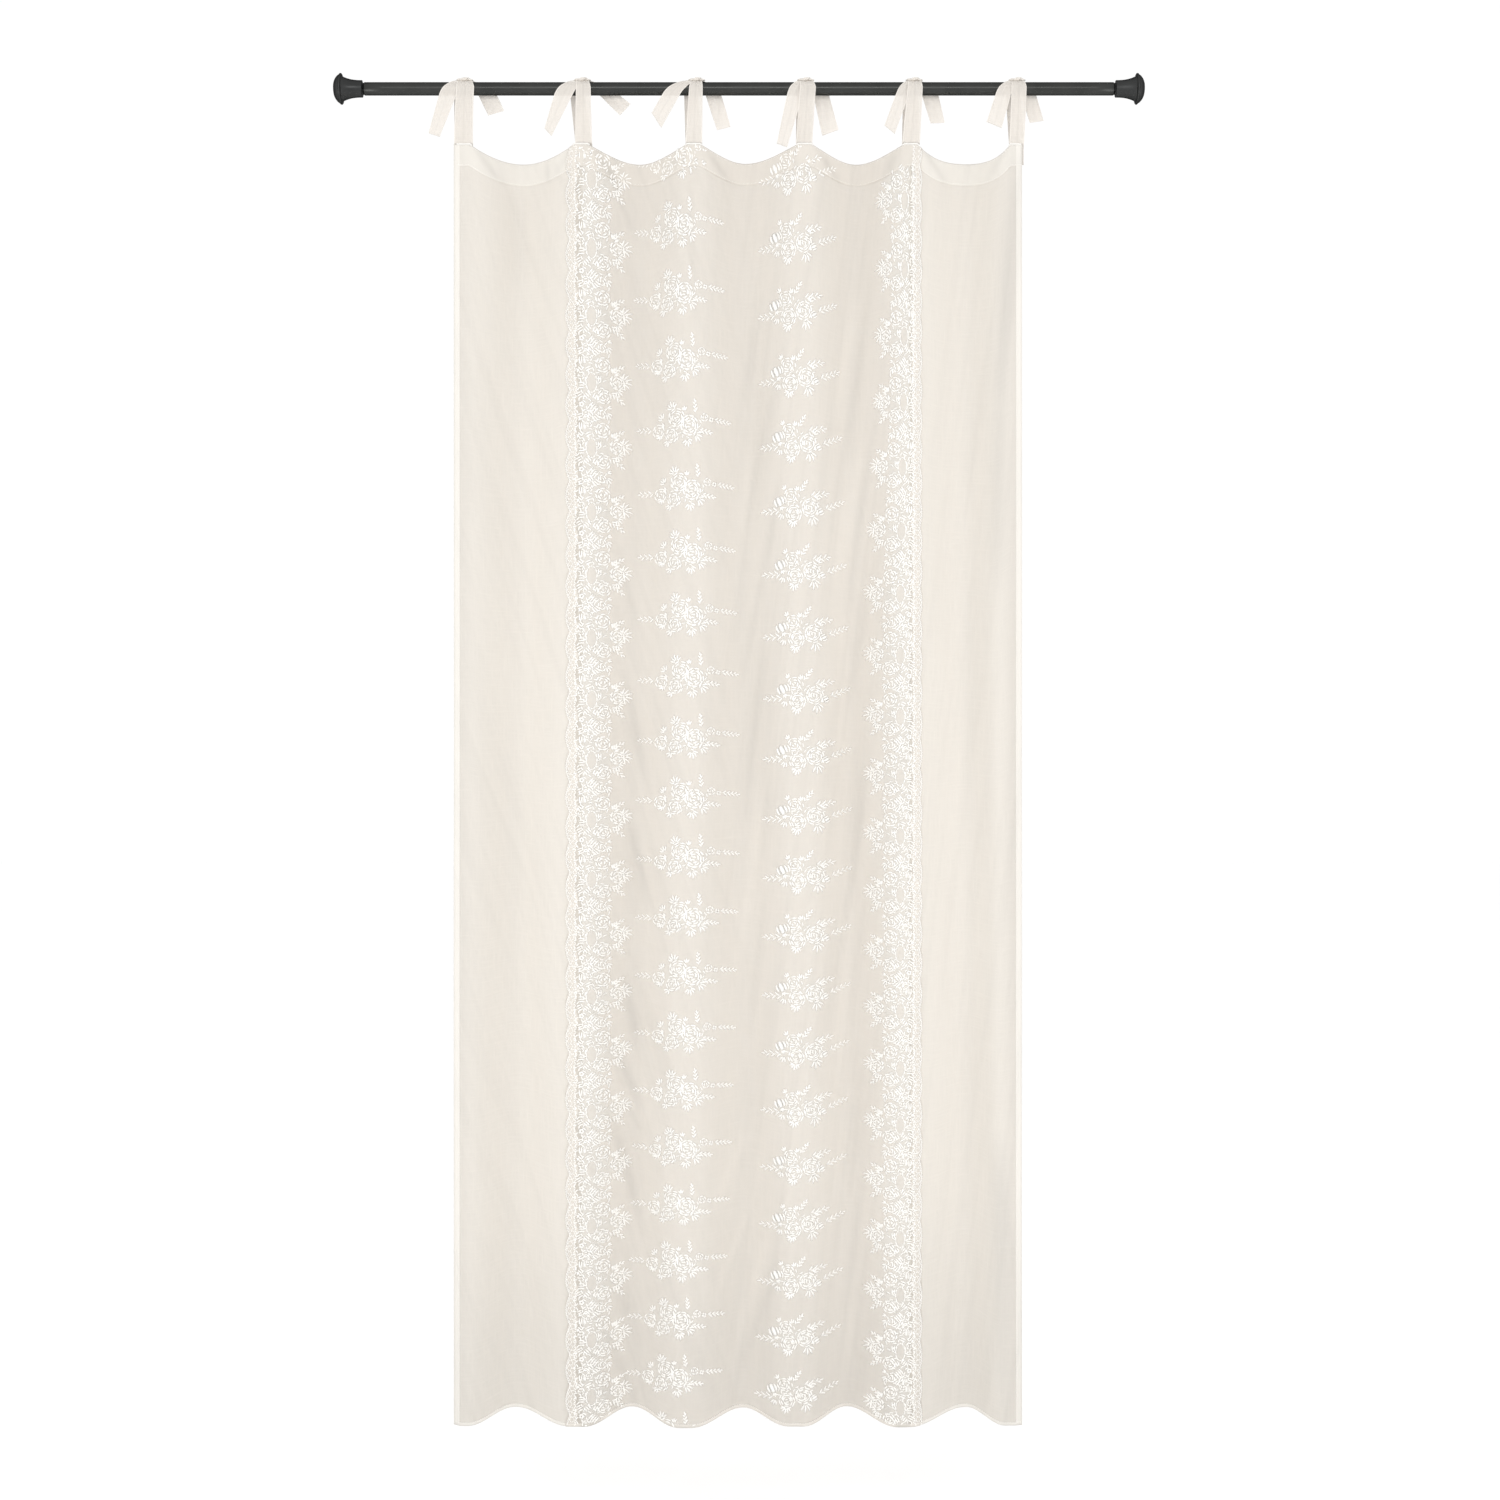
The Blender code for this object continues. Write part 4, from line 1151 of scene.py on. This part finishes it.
# ---------------------------------------------------------------------------- ribbon ties
# Six lengths of sheer ribbon, about 36 mm wide, with woven edges. Each is sewn by its middle
# behind the heading. Its two arms go up on both sides of the rod and are knotted on top of it,
# and its free ends fall to the left in front and to the right behind.
TIE_COLUMNS = ("name", "x_foot", "width_foot", "x_rod", "width_rod", "x_knot", "back_arm_left")
TIES = (
    ("tie_1", -0.5950, 0.0405, -0.5890, 0.0385, -0.5920, 0.009),
    ("tie_2", -0.3352, 0.0362, -0.3348, 0.0315, -0.3380, 0.016),
    ("tie_3", -0.0975, 0.0360, -0.0925, 0.0290, -0.0914, 0.012),
    ("tie_4", 0.1405, 0.0350, 0.1482, 0.0345, 0.1440, 0.006),
    ("tie_5", 0.3713, 0.0380, 0.3790, 0.0325, 0.3782, 0.007),
    ("tie_6", 0.5995, 0.0320, 0.6025, 0.0325, 0.6000, 0.008),
)
END_COLUMNS = ("tie", "x_rod", "width_rod", "x_end", "z_end", "end_run_x", "end_run_z")
FRONT_ENDS = (
    ("tie_1", -0.6255, 0.0380, -0.6560, -0.1040, 0.0240, -0.0080),
    ("tie_2", -0.3765, 0.0400, -0.4110, -0.0980, 0.0150, -0.0170),
    ("tie_3", -0.1446, 0.0380, -0.1775, -0.0725, 0.0210, -0.0324),
    ("tie_4", 0.1212, 0.0340, 0.0925, -0.1265, 0.0225, -0.0082),
    ("tie_5", 0.3526, 0.0280, 0.3242, -0.0925, 0.0225, -0.0185),
    ("tie_6", 0.5695, 0.0330, 0.5490, -0.0825, 0.0325, -0.0135),
)
BACK_ENDS = (
    ("tie_1", -0.5420, 0.0400, -0.5259, -0.0481, 0.0348, 0.0099),
    ("tie_2", -0.2750, 0.0440, -0.2464, -0.0406, 0.0230, 0.0250),
    ("tie_3", -0.0537, 0.0340, -0.0328, -0.0815, 0.0296, 0.0076),
    ("tie_4", 0.1793, 0.0340, 0.1979, -0.0907, 0.0354, 0.0130),
    ("tie_5", 0.4155, 0.0354, 0.4304, -0.0697, 0.0307, 0.0013),
    ("tie_6", 0.6290, 0.0320, 0.6448, -0.0669, 0.0302, 0.0043),
)
ROD_RADIUS = 0.014
STRAP_RADIUS = 0.0169
END_RADIUS = 0.0153
END_LIFT = 0.0028
FOOT_LENGTH = 0.044
FOOT_BACK = 0.0037
ARM_GAP = 0.0010
OVER_EDGE = (0.0048, 0.0018)
STRAP_CROWN = 0.0022
RIBBON_FLAT = (0.036, 0.54)
RIBBON_HALF_THICKNESS = 0.00028
RIBBON_EDGE_HALF_THICKNESS = 0.00050
RIBBON_EDGE = 0.93
RIBBON_RIMS = (1, 3, 5)
PLEAT = 0.0007
# Painted shade on the ribbons: on the strap and the front end, none on the back end, which so shows
# lighter, and more of it down a ribbon's middle.
STRAP_PLEATS, STRAP_PAINTED_SHADE = 3.0, 0.40
END_PLEATS, FRONT_END_PAINTED_SHADE, BACK_END_PAINTED_SHADE = 2.0, 0.36, 0.0
MIDDLE_PAINTED_SHADE = (0.75, 0.10)
FOOT_ROWS = 5
RISE_ROWS = 26
TURN_ROWS = 12
DROP_ROWS = 22
KNOT_HALF_SIZE = (0.0185, 0.0125, 0.0042)
KNOT_HEIGHT = 0.0186
KNOT_SEAT = ROD_RADIUS + 0.0004
KNOT_MAP_RADIUS = 0.006
KNOT_ROWS = 20
KNOT_SIDES = 40
WRAP_HALF_WIDTH = 0.0060
WRAP_STAND = (0.0002, 0.0009)
WRAP_SLANT = 0.004
WRAP_MAP_RADIUS = 0.01
WRAP_SIDES = 10
QUARTER = 0.5 * np.pi
HEADING_AT_TIES = FOLDS[1][4]
inner_ribbon = np.linspace(-0.85, 0.85, 11)
across_ribbon = np.concatenate([[-1.0, -0.97, -RIBBON_EDGE], inner_ribbon, [RIBBON_EDGE, 0.97, 1.0]])


def ribbon_grid(centre, half_run, crown):
    """Points across a ribbon at every row of its middle line: centre + across half_run, pushed
    crown (1 - across^2) along Y."""
    points = centre[:, None, :] + across_ribbon[None, :, None] * half_run[:, None, :]
    points[..., 1] += crown[:, None] * (1.0 - across_ribbon[None, :] ** 2)
    return points


def arm_rows(tie, side, foot_y):
    """One arm from its sewn foot to the rod's top: straight up in x, y by the root of half a wave
    to the rod's side, then a quarter circle over it. side is -1 in front and 1 behind. The front
    arm bends forward over the heading's edge by depth (1 - exp(-rise / reach)) (1 - share)."""
    x_rod = tie["x_rod"] - (tie["back_arm_left"] if side > 0 else 0.0)
    foot = np.linspace(HEADING_AT_TIES - FOOT_LENGTH, HEADING_AT_TIES, FOOT_ROWS)[:-1]
    z = np.concatenate([foot, HEADING_AT_TIES * (1.0 - np.linspace(0.0, 1.0, RISE_ROWS) ** 1.6)])
    rise = np.clip(z - HEADING_AT_TIES, 0.0, None)
    share = rise / -HEADING_AT_TIES
    y = foot_y + (side * STRAP_RADIUS - foot_y) * half_wave(share) ** 0.5
    if side < 0:
        y -= OVER_EDGE[0] * (1.0 - np.exp(-rise / OVER_EDGE[1])) * (1.0 - share)
    x = tie["x_foot"] + (x_rod - tie["x_foot"]) * share
    width = tie["width_foot"] + (tie["width_rod"] - tie["width_foot"]) * share
    over = np.linspace(0.0, 1.0, TURN_ROWS + 1)[1:]
    x = np.concatenate([x, x_rod + (tie["x_knot"] - x_rod) * over])
    y = np.concatenate([y, side * STRAP_RADIUS * np.cos(QUARTER * over)])
    z = np.concatenate([z, STRAP_RADIUS * np.sin(QUARTER * over)])
    width = np.concatenate([width, tie["width_rod"] * (1.0 - 0.25 * over)])
    crown = side * STRAP_CROWN * np.sin(np.pi * np.concatenate([share, np.zeros(TURN_ROWS)]))
    still = np.zeros_like(width)
    return np.stack([x, y, z], -1), np.stack([width / 2, still, still], -1), crown


def strap(tie):
    """The strap's whole loop, up the front arm, over the rod and down the back arm. Its foot
    follows the heading's curve, which fades out by half a wave over two thirds of the way up."""
    front, back = arm_rows(tie, -1, FOOT_BACK), arm_rows(tie, 1, FOOT_BACK + ARM_GAP)
    points = ribbon_grid(*(np.concatenate([f, b[::-1][1:]]) for f, b in zip(front, back)))
    x, y, z = np.moveaxis(points, -1, 0)
    near_heading = 1.0 - half_wave(1.5 * (z - HEADING_AT_TIES) / -HEADING_AT_TIES)
    heading_y = fold_value("back", x, np.zeros_like(x)) + crease_depth(x, np.full_like(x, HEADING_AT_TIES))
    y += heading_y * near_heading
    return points


def free_end(tie, end, side):
    """A free end: from the knot by a quarter circle over the rod's shoulder, then straight down.
    Its x leaves the knot on a parabola that meets the straight part at the rod's underside. It
    leaves the knot at 0.6 of its width."""
    turn = np.linspace(1.0, 0.0, TURN_ROWS + 1)
    radius = END_RADIUS + END_LIFT * turn**2
    drop = np.linspace(0.0, 1.0, DROP_ROWS + 1)[1:]
    arc = END_RADIUS * QUARTER
    along = np.concatenate([arc * (1.0 - turn), arc - end["z_end"] * drop])
    to_underside = arc + ROD_RADIUS
    below_rod = -end["z_end"] - ROD_RADIUS
    slope = (end["x_end"] - end["x_rod"]) / below_rod
    bend = (tie["x_knot"] - end["x_rod"] + slope * to_underside) / to_underside**2
    above = np.clip(to_underside - along, 0.0, None)
    x = end["x_rod"] + slope * (along - to_underside) + bend * above**2
    y = side * np.concatenate([radius * np.cos(QUARTER * turn), np.full(DROP_ROWS, END_RADIUS)])
    z = np.concatenate([radius * np.sin(QUARTER * turn), end["z_end"] * drop])
    fallen = -end["z_end"] * np.concatenate([np.zeros(TURN_ROWS + 1), drop])
    low = np.clip((fallen - ROD_RADIUS) / below_rod, 0.0, 1.0)
    narrow = 0.6 + 0.4 * np.clip(along / arc, 0.0, 1.0)
    run_x = (end["width_rod"] + (end["end_run_x"] - end["width_rod"]) * low) * narrow
    half_run = np.stack([run_x, np.zeros_like(low), end["end_run_z"] * low], -1) / 2
    points = ribbon_grid(np.stack([x, y, z], -1), half_run, side * STRAP_CROWN * np.sin(np.pi * low))
    return points if side < 0 else points[:, ::-1]


def ribbon(points, pleats, shade_level):
    """A sheet on a ribbon's grid, thick at its woven edges. Its surface is lifted by PLEAT
    cos(pi pleats across + 1.3 sin(5 run)), which fades to its edges and ends. It gets the painted
    shade given, and more painted shade along a crease down its middle."""
    run = np.linspace(0.0, 1.0, len(points))[:, None]
    fade = np.sin(np.pi * run) ** 0.7 * (1.0 - across_ribbon**4)
    lift = PLEAT * fade * np.cos(np.pi * pleats * across_ribbon + 1.3 * np.sin(5.0 * run))
    woven_edge = np.abs(across_ribbon) > RIBBON_EDGE + 0.01
    half_thickness = np.where(woven_edge, RIBBON_EDGE_HALF_THICKNESS, RIBBON_HALF_THICKNESS)
    vertices, blocks = closed_sheet(points + grid_normal(points) * lift[..., None], half_thickness[None, :])
    middle = points[:, len(across_ribbon) // 2]
    length = np.concatenate([[0.0], np.cumsum(np.linalg.norm(np.diff(middle, axis=0), axis=-1))])
    along, across = np.meshgrid(length, across_ribbon * RIBBON_FLAT[0] / 2, indexing="ij")
    closed = np.broadcast_to(np.abs(across_ribbon) > RIBBON_EDGE - 0.01, along.shape)
    crease, half_width = MIDDLE_PAINTED_SHADE
    shade_levels = shade_level * (1.0 + crease * np.exp(-((across_ribbon / half_width) ** 2)))
    shade_levels = np.broadcast_to(shade_levels, along.shape)
    return vertices, blocks, *(np.tile(part.ravel(), 2) for part in (across, along, closed, shade_levels))


def knot(tie):
    """The knot: an ellipsoid with grooves wound round it, its radius (1 - 0.2 |sin(turn + 2.5
    place)|^4) where place runs from pole to pole, and flat where it is drawn on to the rod."""
    place = np.linspace(-QUARTER, QUARTER, KNOT_ROWS + 2)[1:-1, None]
    turn = 2.0 * np.pi * np.arange(KNOT_SIDES)[None, :] / KNOT_SIDES
    crease = 1.0 - 0.20 * np.abs(np.sin(turn + 2.5 * place)) ** 4
    long, deep, high = KNOT_HALF_SIZE
    x = tie["x_knot"] + long * np.sin(place) + 0.0 * turn
    y = deep * np.cos(place) * np.cos(turn) * crease
    z = KNOT_HEIGHT + high * np.cos(place) * np.sin(turn) * crease
    rings = np.stack([x, y, np.maximum(z, KNOT_SEAT)], -1).reshape(-1, 3)
    poles = np.array([[tie["x_knot"] + side * long, 0.0, KNOT_HEIGHT] for side in (-1, 1)])
    vertices = np.concatenate([poles[:1], rings, poles[1:]])
    across = KNOT_MAP_RADIUS * np.arctan2(vertices[:, 1], vertices[:, 2] - KNOT_HEIGHT)
    none = np.zeros(len(vertices))
    return vertices, list(ball_faces(KNOT_ROWS, KNOT_SIDES)), across, vertices[:, 0], none, none


def wrap(tie):
    """The turn of ribbon round the knot: a flat oval section carried round an ellipse in the YZ
    plane, slanting by WRAP_SLANT."""
    turn = 2.0 * np.pi * np.arange(KNOT_SIDES)[:, None] / KNOT_SIDES
    section = 2.0 * np.pi * np.arange(WRAP_SIDES)[None, :] / WRAP_SIDES
    _, deep, high = KNOT_HALF_SIZE
    stand = WRAP_STAND[0] + WRAP_STAND[1] * np.sin(section)
    x = tie["x_knot"] + WRAP_HALF_WIDTH * np.cos(section) + WRAP_SLANT * np.sin(turn)
    y = (deep + stand) * np.cos(turn)
    z = np.maximum(KNOT_HEIGHT + (high + stand) * np.sin(turn), KNOT_SEAT - 0.2 * stand)
    vertices = np.stack([x, y, z], -1).reshape(-1, 3)
    corner = np.arange(x.size).reshape(x.shape)
    ahead, beside = np.roll(corner, -1, 0), np.roll(corner, -1, 1)
    faces = np.stack([part.ravel() for part in (corner, beside, np.roll(ahead, -1, 1), ahead)], -1)
    maps = (x, WRAP_MAP_RADIUS * turn, 0.0 * x, 0.0 * x)
    return vertices, [faces], *(np.broadcast_to(part, x.shape).ravel() for part in maps)


ribbon_material = cloth_material(
    "tie_ribbon", (0.878, 0.830, 0.770), (0.886, 0.842, 0.785),
    covers=(0.66, 0.74), doubled_covers=0.90, thread=0.0009, slub=0.0026, crease_shade=0.05,
)
for row, front_row, back_row in zip(TIES, FRONT_ENDS, BACK_ENDS):
    tie = dict(zip(TIE_COLUMNS, row))
    front, back = (dict(zip(END_COLUMNS, end)) for end in (front_row, back_row))
    bodies = [
        ribbon(strap(tie), STRAP_PLEATS, STRAP_PAINTED_SHADE),
        ribbon(free_end(tie, front, -1), END_PLEATS, FRONT_END_PAINTED_SHADE),
        ribbon(free_end(tie, back, 1), END_PLEATS, BACK_END_PAINTED_SHADE),
        knot(tie),
        wrap(tie),
    ]
    starts = np.cumsum([0] + [len(body[0]) for body in bodies])
    faces = [block + start for body, start in zip(bodies, starts) for block in body[1]]
    vertices, across, along, closed, shade_levels = (
        np.concatenate([body[i] for body in bodies]) for i in (0, 2, 3, 4, 5)
    )
    piece = new_piece(f"ribbon_{tie['name']}", vertices, faces, ribbon_material, RIBBON_RIMS)
    add_cloth_maps(piece, across, along, closed, shade_levels)
    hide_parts(tie["name"])
    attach(piece, "root")


# ---------------------------------------------------------------------------- rod and caps
# A steel tube, 28 mm across, and two turned end caps that plug into it, all in dark satin
# paint. A cap has a level face, a rounded shoulder, a bead, a flare down to its neck and a
# thin collar that shows as a dark line against the rod.
ROD_HALF_LENGTH = 0.8085
ROD_EDGE = 0.0006
CAP_LENGTH = 0.0610
CAP_FACE_RADIUS = 0.0130
CAP_BELL_RADIUS = 0.0306
CAP_BEAD_RADIUS = 0.0331
CAP_FLARE_RADIUS = 0.0265
CAP_NECK_RADIUS = 0.0182
CAP_BEAD_PLACE = 0.0152
CAP_BEAD_HALF_WIDTH = 0.0024
CAP_NECK_EDGE = 0.0008
COLLAR_RADIUS = 0.0125
COLLAR_LENGTH = 0.0043
JOIN_GAP = 0.0003
NARROW_STEP = 0.0001
SHOULDER_ROWS = 26
BEAD_ROWS = 14
FLARE_ROWS = 30
ROD_ROWS = 41
TURNED_SIDES = 96
PAINT_CLOUDS = 26.0
PAINT_PEBBLES = 900.0
PAINT_BUMP = (0.25, 0.0002)


def turned(x, radius):
    """A profile of radius over x, x rising, carried round the X axis. Its first and last points
    lie on the axis."""
    turn = 2.0 * np.pi * np.arange(TURNED_SIDES) / TURNED_SIDES
    rings = np.stack(np.broadcast_arrays(
        x[1:-1, None], radius[1:-1, None] * np.cos(turn), radius[1:-1, None] * np.sin(turn)
    ), -1)
    vertices = np.concatenate([[[x[0], 0.0, 0.0]], rings.reshape(-1, 3), [[x[-1], 0.0, 0.0]]])
    return vertices, list(ball_faces(len(x) - 2, TURNED_SIDES))


def cap_profile():
    """Distance from the outer face and radius there: face, shoulder (1 - (1 - s)^1.5)^(1 / 1.5),
    bead half a sine, flare (1 - s)^2.6, neck edge and collar."""
    shoulder = np.linspace(0.0, 1.0, SHOULDER_ROWS) ** 1.6
    shoulder_x = (CAP_BEAD_PLACE - CAP_BEAD_HALF_WIDTH) * shoulder
    rise = (1.0 - (1.0 - shoulder) ** 1.5) ** (1 / 1.5)
    shoulder_r = CAP_FACE_RADIUS + (CAP_BELL_RADIUS - CAP_FACE_RADIUS) * rise
    bead = np.linspace(0.10, np.pi - 0.10, BEAD_ROWS)
    bead_x = CAP_BEAD_PLACE - CAP_BEAD_HALF_WIDTH * np.cos(bead)
    bead_r = CAP_BELL_RADIUS + (CAP_BEAD_RADIUS - CAP_BELL_RADIUS) * np.sin(bead)
    flare = np.linspace(0.0, 1.0, FLARE_ROWS)
    flare_start = CAP_BEAD_PLACE + 1.4 * CAP_BEAD_HALF_WIDTH
    flare_x = flare_start + (CAP_LENGTH - flare_start) * flare
    flare_r = CAP_NECK_RADIUS + (CAP_FLARE_RADIUS - CAP_NECK_RADIUS) * (1.0 - flare) ** 2.6
    end = CAP_LENGTH + COLLAR_LENGTH
    collar_x = [CAP_LENGTH + NARROW_STEP, CAP_LENGTH + 2 * NARROW_STEP, end, end + NARROW_STEP]
    collar_r = [CAP_NECK_RADIUS - CAP_NECK_EDGE, COLLAR_RADIUS, COLLAR_RADIUS, 0.0]
    x = np.concatenate([[0.0, 0.0], shoulder_x[1:], bead_x, flare_x, collar_x])
    r = np.concatenate([[0.0, CAP_FACE_RADIUS], shoulder_r[1:], bead_r, flare_r, collar_r])
    return x, r


def paint(name, colour, worn, roughness):
    """Satin paint: a slow change between two greys, roughness that changes with it, and the fine
    pebbled surface of powder coat as bump."""
    material, tree, shader = new_material(name, roughness, metallic=0.9)
    shader.inputs["Specular Tint"].default_value = (0.25, 0.25, 0.25, 1.0)
    place = tree.nodes.new("ShaderNodeTexCoord").outputs["Object"]
    slow = new_node(tree, "ShaderNodeTexNoise", Scale=PAINT_CLOUDS, Detail=3.0)
    fine = new_node(tree, "ShaderNodeTexNoise", Scale=PAINT_PEBBLES, Detail=1.0)
    for noise in (slow, fine):
        tree.links.new(place, noise.inputs["Vector"])
    share = spread(tree, slow.outputs["Fac"], 0.35, 0.65)
    tree.links.new(blended(tree, share, colour, worn), shader.inputs["Base Color"])
    rough = spread(tree, share, 0.0, 1.0, roughness - 0.05, roughness + 0.06)
    tree.links.new(rough, shader.inputs["Roughness"])
    add_bump(tree, shader, fine.outputs["Fac"], *PAINT_BUMP)
    return material


rod_paint = paint("rod_paint", (0.045, 0.046, 0.044), (0.053, 0.054, 0.052), 0.30)
cap_paint = paint("cap_paint", (0.041, 0.042, 0.042), (0.049, 0.050, 0.050), 0.36)

rod_x = np.concatenate([[-1.0, -1.0], np.linspace(-1.0, 1.0, ROD_ROWS), [1.0, 1.0]]) * ROD_HALF_LENGTH
rod_x[2], rod_x[-3] = rod_x[2] + ROD_EDGE, rod_x[-3] - ROD_EDGE
rod_r = np.full(rod_x.shape, ROD_RADIUS)
rod_r[[0, -1]] = 0.0
rod_r[[1, -2]] = ROD_RADIUS - ROD_EDGE
rod = new_piece("curtain_rod", *turned(rod_x, rod_r), rod_paint)
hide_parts("rod")
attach(rod, "root")

cap_x, cap_r = cap_profile()
outer_face = ROD_HALF_LENGTH + JOIN_GAP + COLLAR_LENGTH + CAP_LENGTH
for node, x, r in (
    ("end_cap_left", cap_x - outer_face, cap_r),
    ("end_cap_right", (outer_face - cap_x)[::-1], cap_r[::-1]),
):
    cap = new_piece(f"turned_{node}", *turned(x, r), cap_paint)
    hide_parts(node)
    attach(cap, "root")
